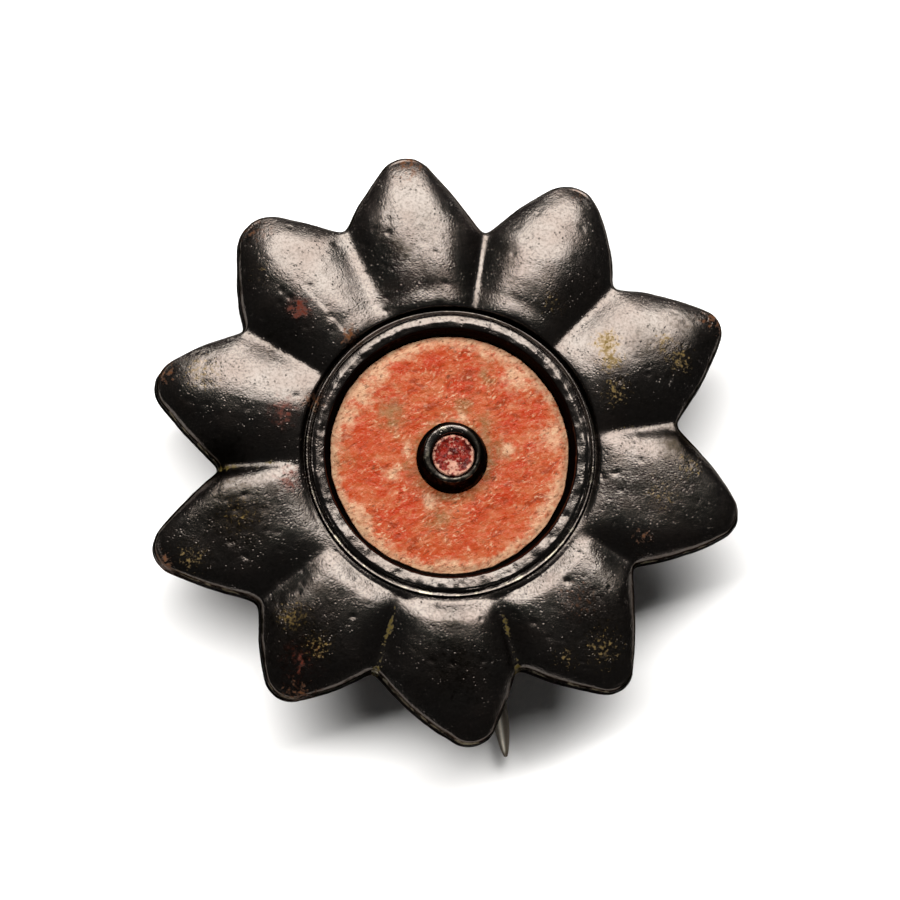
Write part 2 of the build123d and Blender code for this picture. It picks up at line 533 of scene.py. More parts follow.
def build_fibre() -> bpy.types.NodeTree:
    """Group for fine drawn-out streaks that bend a little. Length and Breadth are in millimetres.

    Returns:
        The group, with the output Value between 0 and 1.
    """
    effect = Effect(
        "fibre",
        {
            "Place": (VECTOR, None),
            "Length": (FLOAT, 1.2),
            "Breadth": (FLOAT, 0.3),
            "Warp": (FLOAT, 0.6),
            "Slant": (FLOAT, 0.0),
        },
        ("Value", FLOAT),
    )
    wiring, given = effect.start()
    inputs = {"Vector": given["Place"], "Scale": 0.28 / MM, "Detail": 2.0}
    bend = wiring.node("ShaderNodeTexNoise", inputs).outputs[0]
    back = wiring.sum("MULTIPLY", given["Slant"], -1.0)
    inputs = {"Vector": given["Place"], "Angle": back}
    level = wiring.node("ShaderNodeVectorRotate", inputs, rotation_type="Z_AXIS").outputs[0]
    part = wiring.node("ShaderNodeSeparateXYZ", {0: level}).outputs
    along = wiring.sum("DIVIDE", wiring.sum("DIVIDE", part[0], MM), given["Length"])
    lift = wiring.sum("MULTIPLY", wiring.sum("SUBTRACT", bend, 0.5), given["Warp"])
    rise = wiring.sum("MULTIPLY_ADD", lift, 6.0, wiring.sum("DIVIDE", part[1], MM))
    across = wiring.sum("DIVIDE", rise, given["Breadth"])
    bent = wiring.node("ShaderNodeCombineXYZ", {0: along, 1: across, 2: 0.0}).outputs[0]
    inputs = {"Vector": bent, "Scale": 1.0, "Detail": 4.0, "Roughness": 0.65, "Distortion": 0.4}
    return effect.finish(wiring, wiring.node("ShaderNodeTexNoise", inputs).outputs[0])


def build_stain() -> bpy.types.NodeTree:
    """Group that lays a tint over a colour as far as a mask allows.

    Returns:
        The group, with the output Color.
    """
    grey = (0.5, 0.5, 0.5, 1)
    effect = Effect(
        "stain",
        {"Color": (COLOR, grey), "Tint": (COLOR, grey), "Mask": (FLOAT, 0.0), "Strength": (FLOAT, 1.0)},
        ("Color", COLOR),
    )
    wiring, given = effect.start()
    share = wiring.sum("MULTIPLY", given["Mask"], given["Strength"])
    return effect.finish(wiring, wiring.mix(share, given["Color"], given["Tint"]))


@dataclass(frozen=True)
class Effects:
    """The shader node groups that the materials share."""

    speckle: bpy.types.NodeTree
    pitting: bpy.types.NodeTree
    fibre: bpy.types.NodeTree
    stain: bpy.types.NodeTree

    @classmethod
    def build(cls) -> "Effects":
        """Build each group once."""
        return cls(build_speckle(), build_pitting(), build_fibre(), build_stain())


# Finishes


class Coat:
    """A material in the making: its wiring, its Principled shader and its place on the object."""

    def __init__(self, name: str, effects: Effects) -> None:
        """Start the material.

        Args:
            name: Name of the material.
            effects: The shared node groups.
        """
        self.material = bpy.data.materials.new(name)
        self.material.use_nodes = True
        self.effects = effects
        self.wiring = Wiring(self.material.node_tree)
        self.shader = self.material.node_tree.nodes["Principled BSDF"]
        self.place = self.wiring.place()

    def speckle(self, size: float, cover: object, softness: float = 0.08) -> bpy.types.NodeSocket:
        """Broken-up mask of a given size in millimetres."""
        inputs = {"Place": self.place, "Size": size, "Cover": cover, "Softness": softness}
        return self.wiring.group(self.effects.speckle, **inputs)

    def fibre(self, length: float, breadth: float, warp: float, slant: float) -> bpy.types.NodeSocket:
        """Streaks of a given length and breadth in millimetres, at a slant in degrees."""
        inputs = {"Place": self.place, "Length": length, "Breadth": breadth, "Warp": warp}
        return self.wiring.group(self.effects.fibre, Slant=math.radians(slant), **inputs)

    def stain(self, colour: object, tint: Colour, mask: object, strength: float) -> bpy.types.NodeSocket:
        """Colour with a tint over it."""
        inputs = {"Color": colour, "Tint": tint, "Mask": mask, "Strength": strength}
        return self.wiring.group(self.effects.stain, **inputs)

    def relief(self, height: object, depth: float) -> None:
        """Let a height in shares of a depth in millimetres shape the surface.

        Args:
            height: The height.
            depth: The depth.
        """
        inputs = {"Strength": 1.0, "Distance": depth * MM, "Height": height}
        bump = self.wiring.node("ShaderNodeBump", inputs).outputs[0]
        self.wiring.feed(self.shader, {"Normal": bump})

    def pitting(self, size: float, pits: float, grit: float) -> bpy.types.NodeSocket:
        """Height of pitted, gritty unevenness of a given size in millimetres."""
        inputs = {"Place": self.place, "Size": size, "Pits": pits, "Grit": grit}
        return self.wiring.group(self.effects.pitting, **inputs)


@dataclass(frozen=True)
class Tint:
    """How one mark colours the patina.

    Fleck is the size of its flecks in millimetres, cover the share of the ground that they hide where
    the mark is strongest, strength how much each hides, dulls how far it takes away the shine, earthy
    how far it hides the metal, and softness how soft the flecks' borders are.
    """

    mark: Mark
    colour: Colour
    fleck: float
    cover: float
    strength: float
    dulls: float
    earthy: float = 1.0
    softness: float = 0.12


@dataclass(frozen=True)
class BronzePatina:
    """Near-black glossy patina with dirt in the hollows and stains, and painted shade, highlights and
    reflections carried by the dust, soot and gilt marks.

    Roughness goes from the first value where it is glossy to the second where it is dull, and relief
    is the depth of its pits in millimetres.
    """

    dark: Colour = (0.146, 0.132, 0.121, 1)
    brown: Colour = (0.130, 0.108, 0.096, 1)
    grazing: Colour = (0.08, 0.07, 0.065, 1)
    dust_and_shade_colour: Colour = (0.030, 0.025, 0.021, 1)
    tints: tuple[Tint, ...] = (
        # Dust flecks; where the dust blots are strong the mark also stands for painted shade
        Tint(Mark.DUST_AND_SHADE, (0.014, 0.010, 0.005, 1), 0.45, 0.7, 0.7, 0.15, 0.3, 0.16),
        # Soot, and painted shade on rims, in grooves and on the collar's rim
        Tint(Mark.SOOT_AND_SHADE, (0.018, 0.016, 0.013, 1), 2.0, 1.0, 0.96, 0.6, 0.0),
        Tint(Mark.DIRT, (0.056, 0.041, 0.008, 1), 0.30, 0.8, 0.95, 0.5),
        # Bare metal, and painted highlights and floor reflections on rims, ridge and pin
        Tint(Mark.GILT_AND_HIGHLIGHT, (0.440, 0.400, 0.310, 1), 0.8, 0.9, 0.8, 0.4, 0.2),
        Tint(Mark.OCHRE, (0.112, 0.074, 0.020, 1), 0.32, 0.62, 0.92, 0.4, 1.0, 0.14),
        Tint(Mark.RUST, (0.072, 0.025, 0.007, 1), 0.40, 0.7, 0.95, 0.5, 1.0, 0.14),
        Tint(Mark.RED, (0.066, 0.008, 0.002, 1), 0.5, 0.85, 0.97, 0.5, 1.0, 0.22),
    )
    roughness: tuple[float, float] = (0.22, 0.5)
    specular: float = 0.05
    relief: float = 0.030

    def material(self, effects: Effects) -> bpy.types.Material:
        """Make the material, which reads the marks on the mesh.

        Args:
            effects: The shared node groups.

        Returns:
            The material.
        """
        coat = Coat("bronze_patina", effects)
        wiring = coat.wiring
        mottle = coat.speckle(size=4.0, cover=0.5, softness=0.2)
        dust_and_shade = wiring.spread(wiring.mark(Mark.DUST_AND_SHADE), low=0.15, high=1.0)
        film = coat.speckle(size=0.24, cover=0.40, softness=0.12)
        colour = wiring.mix(mottle, self.dark, self.brown)
        # Dust and painted shade: a smooth darkening that dims whole petals where the blots are strong
        colour = coat.stain(colour, self.dust_and_shade_colour, dust_and_shade, strength=0.85)
        colour = coat.stain(colour, self.dust_and_shade_colour, film, strength=0.45)
        dull = earthy = wiring.sum("MULTIPLY", mottle, 0.02)
        for tint in self.tints:
            mark = wiring.mark(tint.mark)
            mask = coat.speckle(tint.fleck, wiring.sum("MULTIPLY", mark, tint.cover), tint.softness)
            mask = wiring.sum("MULTIPLY", mask, wiring.spread(mark, low=0.03, high=0.4))
            colour = coat.stain(colour, tint.colour, mask, tint.strength)
            dull = wiring.sum("MAXIMUM", dull, wiring.sum("MULTIPLY", mask, tint.dulls))
            if tint.earthy:
                earthy = wiring.sum("MAXIMUM", earthy, wiring.sum("MULTIPLY", mask, tint.earthy))
        roughness = wiring.sum("MULTIPLY_ADD", mottle, 0.05, wiring.spread(dull, 0, 1, *self.roughness))
        metal = wiring.spread(earthy, low=0.5, high=1.0, start=1.0, end=0.0)
        wiring.feed(coat.shader, {"Base Color": colour, "Roughness": roughness, "Metallic": metal})
        coat.shader.inputs["Specular Tint"].default_value = self.grazing
        coat.shader.inputs["Specular IOR Level"].default_value = self.specular
        coat.relief(coat.pitting(size=0.34, pits=0.8, grit=0.6), self.relief)
        return coat.material


@dataclass(frozen=True)
class WornEnamel:
    """Old enamel: red and orange patches, pale where it is thin, with dull places, fine streaks and
    cream threads that are partly painted glints.

    Roughness goes from the first value where it is glossy to the second where it is dull, and relief
    is the depth of its pits and streaks in millimetres.
    """

    red: Colour = (0.270, 0.021, 0.004, 1)
    orange: Colour = (0.280, 0.034, 0.007, 1)
    salmon: Colour = (0.300, 0.078, 0.029, 1)
    cream: Colour = (0.420, 0.270, 0.165, 1)
    olive: Colour = (0.155, 0.090, 0.036, 1)
    brick: Colour = (0.155, 0.019, 0.004, 1)
    dark: Colour = (0.060, 0.017, 0.005, 1)
    roughness: tuple[float, float] = (0.22, 0.4)
    specular: float = 0.14
    relief: float = 0.09

    def material(self, effects: Effects) -> bpy.types.Material:
        """Make the material, which reads the marks red, pale and dirt on the mesh.

        Args:
            effects: The shared node groups.

        Returns:
            The material.
        """
        coat = Coat("worn_enamel", effects)
        wiring = coat.wiring
        pale, dirt, red = wiring.mark(Mark.PALE), wiring.mark(Mark.DIRT), wiring.mark(Mark.RED)
        streak = coat.fibre(length=2.2, breadth=0.8, warp=0.35, slant=18)
        thread = coat.fibre(length=0.5, breadth=0.24, warp=0.2, slant=30)
        grain = coat.speckle(size=0.42, cover=0.5, softness=0.16)
        thin = wiring.spread(pale, low=0.2, high=0.8)
        worn = wiring.sum("MAXIMUM", coat.speckle(size=2.0, cover=0.44, softness=0.10), thin)
        share = wiring.spread(worn, low=0, high=1, start=0.28, end=1.0)
        layers = (
            (self.red, coat.speckle(size=1.4, cover=red, softness=0.2), 0.95),
            (self.brick, wiring.spread(streak, low=0.46, high=0.36), 0.8),
            (self.salmon, wiring.spread(streak, low=0.52, high=0.62), 0.8),
            (self.olive, coat.speckle(size=0.9, cover=dirt, softness=0.2), 0.8),
            (self.cream, coat.speckle(size=0.8, cover=pale, softness=0.2), 0.8),
            (self.orange, grain, 0.2),
            (self.dark, wiring.sum("MULTIPLY", wiring.spread(thread, low=0.48, high=0.32), share), 0.85),
            # Cream threads: pale fibres, and painted glints in the worn zones
            (self.cream, wiring.sum("MULTIPLY", wiring.spread(thread, low=0.53, high=0.66), share), 0.9),
        )
        colour = wiring.mix(coat.speckle(size=1.6, cover=0.45, softness=0.2), self.orange, self.salmon)
        for tint, mask, strength in layers:
            colour = coat.stain(colour, tint, mask, strength)
        roughness = wiring.spread(grain, 0, 1, *self.roughness)
        wiring.feed(coat.shader, {"Base Color": colour, "Roughness": roughness})
        coat.shader.inputs["Specular IOR Level"].default_value = self.specular
        pitting = coat.pitting(size=0.32, pits=0.5, grit=0.5)
        coat.relief(wiring.sum("MULTIPLY_ADD", streak, 0.5, pitting), self.relief)
        return coat.material


@dataclass(frozen=True)
class CrustyInlay:
    """Dark red enamel in the collar, broken up and full of pale crumbs.

    Roughness goes from the first value between the crumbs to the second on them, and relief is the
    depth of its pits in millimetres.
    """

    red: Colour = (0.170, 0.011, 0.006, 1)
    dark: Colour = (0.035, 0.003, 0.002, 1)
    crumb: Colour = (0.400, 0.210, 0.150, 1)
    roughness: tuple[float, float] = (0.22, 0.4)
    specular: float = 0.2
    relief: float = 0.10

    def material(self, effects: Effects) -> bpy.types.Material:
        """Make the material, which reads the mark pale on the mesh.

        Args:
            effects: The shared node groups.

        Returns:
            The material.
        """
        coat = Coat("crusty_inlay", effects)
        wiring = coat.wiring
        colour = wiring.mix(coat.speckle(size=0.6, cover=0.5, softness=0.14), self.red, self.dark)
        crumbs = coat.speckle(size=0.32, cover=wiring.mark(Mark.PALE), softness=0.07)
        colour = coat.stain(colour, self.crumb, crumbs, strength=0.9)
        roughness = wiring.spread(crumbs, 0, 1, *self.roughness)
        wiring.feed(coat.shader, {"Base Color": colour, "Roughness": roughness})
        coat.shader.inputs["Specular IOR Level"].default_value = self.specular
        coat.relief(coat.pitting(size=0.26, pits=0.5, grit=0.6), self.relief)
        return coat.material


@dataclass(frozen=True)
class WornBronze:
    """Bare bronze of the pin: brown, with a highlight painted along it in pale yellow.

    Roughness goes from the first value where it is brown to the second where the highlight is painted,
    and relief is the depth of its pits in millimetres.
    """

    brown: Colour = (0.060, 0.042, 0.024, 1)
    # Colour of the painted highlight
    highlight_colour: Colour = (1.000, 0.940, 0.800, 1)
    roughness: tuple[float, float] = (0.5, 0.36)
    metallic: float = 0.1
    relief: float = 0.06

    def material(self, effects: Effects) -> bpy.types.Material:
        """Make the material, which reads the mark gilt_and_highlight on the mesh where the highlight is
        painted.

        Args:
            effects: The shared node groups.

        Returns:
            The material.
        """
        coat = Coat("worn_bronze", effects)
        wiring = coat.wiring
        broken = wiring.spread(coat.speckle(size=0.9, cover=0.55, softness=0.2), 0, 1, start=0.75, end=1.0)
        # Painted highlight: pale colour where the mark is strong
        wear_and_highlight = wiring.sum("MULTIPLY", wiring.mark(Mark.GILT_AND_HIGHLIGHT), broken)
        colour = wiring.mix(wear_and_highlight, self.brown, self.highlight_colour)
        roughness = wiring.spread(wear_and_highlight, 0, 1, *self.roughness)
        wiring.feed(coat.shader, {"Base Color": colour, "Roughness": roughness})
        coat.shader.inputs["Metallic"].default_value = self.metallic
        coat.relief(coat.pitting(size=0.35, pits=0.4, grit=0.4), self.relief)
        return coat.material


@dataclass(frozen=True)
class FloorPaper:
    """Pale matt floor that is clear from below and dimmer in mirrored light."""

    colour: Colour = (0.9, 0.9, 0.9, 1)
    roughness: float = 0.9
    specular: float = 0.1
    mirrored_share: float = 0.5

    def material(self) -> bpy.types.Material:
        """Make the material.

        Returns:
            The material.
        """
        material = bpy.data.materials.new("floor_paper")
        material.use_nodes = True
        wiring = Wiring(material.node_tree)
        shader = material.node_tree.nodes["Principled BSDF"]
        shader.inputs["Base Color"].default_value = self.colour
        shader.inputs["Roughness"].default_value = self.roughness
        shader.inputs["Specular IOR Level"].default_value = self.specular
        below = wiring.node("ShaderNodeNewGeometry").outputs["Backfacing"]
        mirrored = wiring.node("ShaderNodeLightPath").outputs["Is Glossy Ray"]
        share = wiring.sum("MULTIPLY_ADD", mirrored, 1 - self.mirrored_share, below)
        clear = wiring.node("ShaderNodeBsdfTransparent").outputs[0]
        mixed = wiring.node("ShaderNodeMixShader", {0: share, 1: shader.outputs[0], 2: clear})
        wiring.feed(material.node_tree.nodes["Material Output"], {0: mixed.outputs[0]})
        return material


# Rosette outline


@dataclass(frozen=True)
class Petal:
    """One petal and the valley after it.

    Bearings and fullnesses are in degrees, reach, nose, rise and notch depth are shares of nominal
    sizes. Grime and softness say how much dirt lies in the valley and how wide it is rounded, from
    0 to 1, and the dome stays level farther from its crest where it is fuller.
    """

    tip: float
    reach: float
    nose: float
    full_before: float
    full_after: float
    crest: float
    rise: float
    notch: float
    notch_depth: float
    grime: float
    softness: float
    dome_fullness: float


PETALS = (
    Petal(27.0, 1.010, 0.75, 9, 12, 27.0, 1.00, 46.0, 0.95, 0.25, 0.10, 2.0),
    Petal(64.0, 1.000, 1.20, 17, 8, 64.0, 1.05, 81.0, 1.10, 0.10, 0.00, 2.0),
    Petal(99.0, 1.010, 1.05, 5, 8, 98.5, 1.02, 115.0, 0.80, 0.00, 1.00, 2.6),
    Petal(130.5, 1.015, 1.15, 3, 12, 131.0, 1.04, 148.5, 0.93, 0.20, 0.10, 2.0),
    Petal(165.5, 0.995, 1.00, 8, 5, 166.0, 0.98, 183.5, 1.10, 0.85, 0.40, 1.9),
    Petal(199.0, 1.020, 0.90, 7, 5, 196.0, 0.84, 218.0, 0.93, 0.35, 0.60, 5.0),
    Petal(234.5, 0.970, 1.00, 10, 10, 235.0, 0.90, 251.0, 1.10, 0.95, 0.30, 4.0),
    Petal(274.5, 0.955, 0.95, 13, 6, 271.0, 1.00, 288.0, 1.18, 1.00, 0.10, 3.0),
    Petal(307.0, 0.950, 0.90, 8, 7, 307.5, 0.87, 329.5, 1.30, 0.50, 0.40, 5.0),
    Petal(348.3, 0.975, 0.90, 11, 9, 348.5, 0.85, 368.5, 1.07, 0.55, 0.05, 5.0),
)


def polar(bearing: float, reach: float) -> np.ndarray:
    """Point at a bearing in degrees and a distance from the ring's axis."""
    angle = math.radians(bearing)
    return np.array([reach * math.cos(angle), reach * math.sin(angle)])


def tangent_arc(start: np.ndarray, way: np.ndarray, end: np.ndarray, count: int) -> np.ndarray:
    """Points on the arc that leaves start along way and comes to end.

    Args:
        start: First point.
        way: Direction at the first point, of length 1.
        end: Last point.
        count: Number of points.

    Returns:
        The points, from start to end.
    """
    chord = end - start
    side = np.array([-way[1], way[0]])
    radius = (chord @ chord) / (2 * (chord @ side))
    centre = start + side * radius
    share = np.linspace(0, 2 * math.atan2(chord @ side, chord @ way), count)
    spoke = start - centre
    turned = np.array([-spoke[1], spoke[0]])
    return centre + np.outer(np.cos(share), spoke) + np.outer(np.sin(share), turned)


@dataclass(frozen=True)
class Outline:
    """Outline of the ten petals, in millimetres."""

    petal_reach: float = 26.0
    notch_depth: float = 6.0
    nose_radius: float = 2.5

    def notch(self, index: int) -> np.ndarray:
        """Bottom of the notch after a petal."""
        petal = PETALS[index]
        return polar(petal.notch, self.petal_reach - petal.notch_depth * self.notch_depth)

    def half(self, index: int, turn: int) -> np.ndarray:
        """Outline of one half of a petal, from its tip to its notch.

        Args:
            index: The petal.
            turn: 1 for the anticlockwise half and -1 for the other.

        Returns:
            Closely spaced points.
        """
        petal = PETALS[index]
        notch = self.notch(index if turn > 0 else index - 1)
        fullness = petal.full_after if turn > 0 else petal.full_before
        radius = self.nose_radius * petal.nose
        centre = polar(petal.tip, self.petal_reach * petal.reach - radius)
        out, across = polar(petal.tip, 1), polar(petal.tip + 90 * turn, 1)
        back = notch - centre
        length = float(np.linalg.norm(back))
        angle = math.acos(back @ out / length) - math.acos(radius / length) - math.radians(fullness)
        nose = np.linspace(0, angle, 60)
        tip = centre + radius * (np.outer(np.cos(nose), out) + np.outer(np.sin(nose), across))
        way = across * math.cos(angle) - out * math.sin(angle)
        return np.vstack([tip, tangent_arc(tip[-1], way, notch, 140)[1:]])

    def whole(self, index: int) -> np.ndarray:
        """Outline of a petal, from the notch before it to the notch after it."""
        return np.vstack([self.half(index, -1)[::-1], self.half(index, 1)[1:]])


# Stains and painted shade


@dataclass(frozen=True)
class Blot:
    """One stain, or a patch of dust and painted shade: its middle and radius in millimetres, and its
    strength.
    """

    mark: Mark
    x: float
    y: float
    radius: float
    strength: float = 1.0


PLATE_BLOTS = (
    # Dust blots, which also paint shade: several darken whole petals or flanks where the light falls less
    Blot(Mark.DUST_AND_SHADE, 19.5, -3.5, 4.5, 0.4),
    Blot(Mark.DUST_AND_SHADE, 19.6, 1.2, 2.1, 0.95),
    Blot(Mark.DUST_AND_SHADE, 13.0, -13.5, 5.0, 0.55),
    Blot(Mark.DUST_AND_SHADE, -18.5, -5.5, 4.5, 0.8),
    Blot(Mark.DUST_AND_SHADE, -19.6, -0.8, 2.8, 1.0),
    Blot(Mark.DUST_AND_SHADE, -12.5, -15.5, 5.0, 0.65),
    Blot(Mark.DUST_AND_SHADE, 0.5, -18.0, 4.2, 0.65),
    Blot(Mark.DUST_AND_SHADE, 0.3, -14.6, 1.8, 0.5),
    Blot(Mark.DUST_AND_SHADE, 1.5, 14.5, 3.0, 0.35),
    Blot(Mark.DUST_AND_SHADE, -2.2, 20.0, 3.0, 0.35),
    Blot(Mark.DUST_AND_SHADE, 9.0, 14.0, 3.0, 0.4),
    Blot(Mark.DUST_AND_SHADE, 16.8, 9.3, 2.8, 0.55),
    Blot(Mark.DUST_AND_SHADE, 20.8, 11.0, 2.6, 0.6),
    Blot(Mark.DUST_AND_SHADE, -14.5, 10.0, 3.5, 0.4),
    Blot(Mark.DUST_AND_SHADE, -4.6, 17.5, 1.6, 0.7),
    Blot(Mark.OCHRE, 13.4, 9.6, 1.3),
    Blot(Mark.OCHRE, 13.7, 8.0, 1.2),
    Blot(Mark.OCHRE, 14.2, 5.4, 1.6, 0.9),
    Blot(Mark.OCHRE, 19.7, 8.2, 1.6, 0.9),
    Blot(Mark.OCHRE, 18.4, 9.6, 1.2, 0.7),
    Blot(Mark.OCHRE, 8.7, 13.0, 1.6, 0.6),
    Blot(Mark.OCHRE, -21.4, 6.8, 2.2, 0.6),
    Blot(Mark.OCHRE, -16.4, 15.4, 1.6, 0.5),
    Blot(Mark.OCHRE, -22.0, -9.2, 1.8, 0.8),
    Blot(Mark.OCHRE, -18.0, -5.4, 2.4, 0.5),
    Blot(Mark.OCHRE, -13.4, -14.2, 1.8, 0.8),
    Blot(Mark.OCHRE, -11.3, -16.6, 1.6, 0.85),
    Blot(Mark.OCHRE, 13.2, -16.6, 2.4, 0.75),
    Blot(Mark.OCHRE, 9.8, -17.6, 1.5, 0.7),
    Blot(Mark.OCHRE, 18.1, -3.4, 2.2, 0.55),
    Blot(Mark.OCHRE, 20.5, -1.0, 1.4, 0.7),
    Blot(Mark.RUST, 10.8, -12.6, 2.4, 0.5),
    Blot(Mark.RUST, 22.9, 12.0, 1.6, 0.9),
    Blot(Mark.RUST, -3.4, 25.4, 1.9, 0.7),
    Blot(Mark.RUST, 11.5, 23.4, 1.6, 0.6),
    Blot(Mark.RUST, -16.9, 19.3, 1.8, 0.6),
    Blot(Mark.RUST, -24.2, 7.0, 1.5, 0.7),
    Blot(Mark.RUST, -24.4, -9.8, 1.6, 0.9),
    Blot(Mark.RUST, -12.8, -20.5, 2.0, 0.7),
    Blot(Mark.RUST, 16.4, -7.2, 1.4, 0.7),
    Blot(Mark.RUST, -11.7, 4.4, 1.2, 0.8),
    Blot(Mark.RUST, -8.6, 9.9, 1.0),
    Blot(Mark.RED, -13.0, 12.3, 1.1),
    Blot(Mark.RED, -14.3, 3.2, 1.5, 0.7),
    Blot(Mark.RED, -13.6, -2.4, 1.3, 0.6),
    Blot(Mark.RED, -12.8, -18.0, 2.2, 0.6),
)

ENAMEL_BLOTS = (
    Blot(Mark.RED, -4.5, 7.5, 1.6, 0.8),
    Blot(Mark.RED, -1.6, 8.0, 1.4, 0.9),
    Blot(Mark.RED, 1.7, 7.8, 1.5, 0.8),
    Blot(Mark.RED, -5.5, 5.3, 1.0),
    Blot(Mark.RED, 1.0, 5.7, 1.9, 0.7),
    Blot(Mark.RED, 4.8, 5.6, 1.2, 0.9),
    Blot(Mark.RED, 6.8, 3.8, 1.3),
    Blot(Mark.RED, 5.2, 2.6, 1.2, 0.9),
    Blot(Mark.RED, 7.2, 0.9, 1.0, 0.8),
    Blot(Mark.RED, 6.0, -1.2, 1.4, 0.8),
    Blot(Mark.RED, 4.6, -3.4, 1.5, 0.7),
    Blot(Mark.RED, 2.4, -5.0, 1.2, 0.8),
    Blot(Mark.RED, -4.3, -4.4, 2.0),
    Blot(Mark.RED, -4.2, -6.4, 1.3, 0.7),
    Blot(Mark.RED, -7.1, -1.6, 1.5, 0.8),
    Blot(Mark.RED, -7.4, 1.8, 1.5, 0.8),
    Blot(Mark.RED, -3.0, 2.9, 1.1, 0.8),
    Blot(Mark.RED, 1.0, -7.4, 1.7, 0.6),
    Blot(Mark.DIRT, -5.0, 3.6, 1.5, 0.8),
    Blot(Mark.DIRT, 1.4, 4.2, 1.1, 0.8),
    Blot(Mark.DIRT, 3.2, 2.6, 1.1, 0.8),
    Blot(Mark.DIRT, 4.2, 0.7, 1.1, 0.7),
    Blot(Mark.DIRT, 3.2, 7.1, 1.2, 0.6),
    Blot(Mark.DIRT, -3.3, -1.2, 0.9, 0.6),
    Blot(Mark.DIRT, -0.9, -5.4, 1.6, 0.6),
    Blot(Mark.DIRT, -9.7, -0.6, 1.3, 0.6),
    Blot(Mark.DIRT, -7.6, -6.3, 1.2, 0.6),
    Blot(Mark.PALE, -3.6, 9.6, 1.4),
    Blot(Mark.PALE, -6.5, 7.3, 1.3),
    Blot(Mark.PALE, -7.9, 5.4, 1.5),
    Blot(Mark.PALE, -9.2, 3.2, 1.2, 0.9),
    Blot(Mark.PALE, 5.8, 6.8, 1.5, 0.8),
    Blot(Mark.PALE, 9.0, 1.6, 1.4, 0.8),
    Blot(Mark.PALE, -4.9, -1.7, 0.7, 0.8),
    Blot(Mark.PALE, -3.7, 0.4, 0.6, 0.8),
    Blot(Mark.PALE, 4.9, 0.5, 0.7, 0.9),
    Blot(Mark.PALE, -1.5, -4.2, 0.8, 0.8),
    Blot(Mark.PALE, 1.0, 3.4, 0.6, 0.8),
)


def blotted(blots: tuple[Blot, ...], mark: Mark, points: np.ndarray) -> np.ndarray:
    """How strongly the blots of one mark cover each point, from 0 to 1.

    Args:
        blots: All blots of a piece.
        mark: The mark.
        points: Rows of points by 3.

    Returns:
        One value for each point.
    """
    cover = np.zeros(points.shape[:2])
    for blot in blots:
        if blot.mark is mark:
            gap = np.hypot(points[..., 0] - blot.x, points[..., 1] - blot.y) / blot.radius
            cover = np.maximum(cover, blot.strength * np.exp(-(gap**2)))
    return cover


# Cast plate


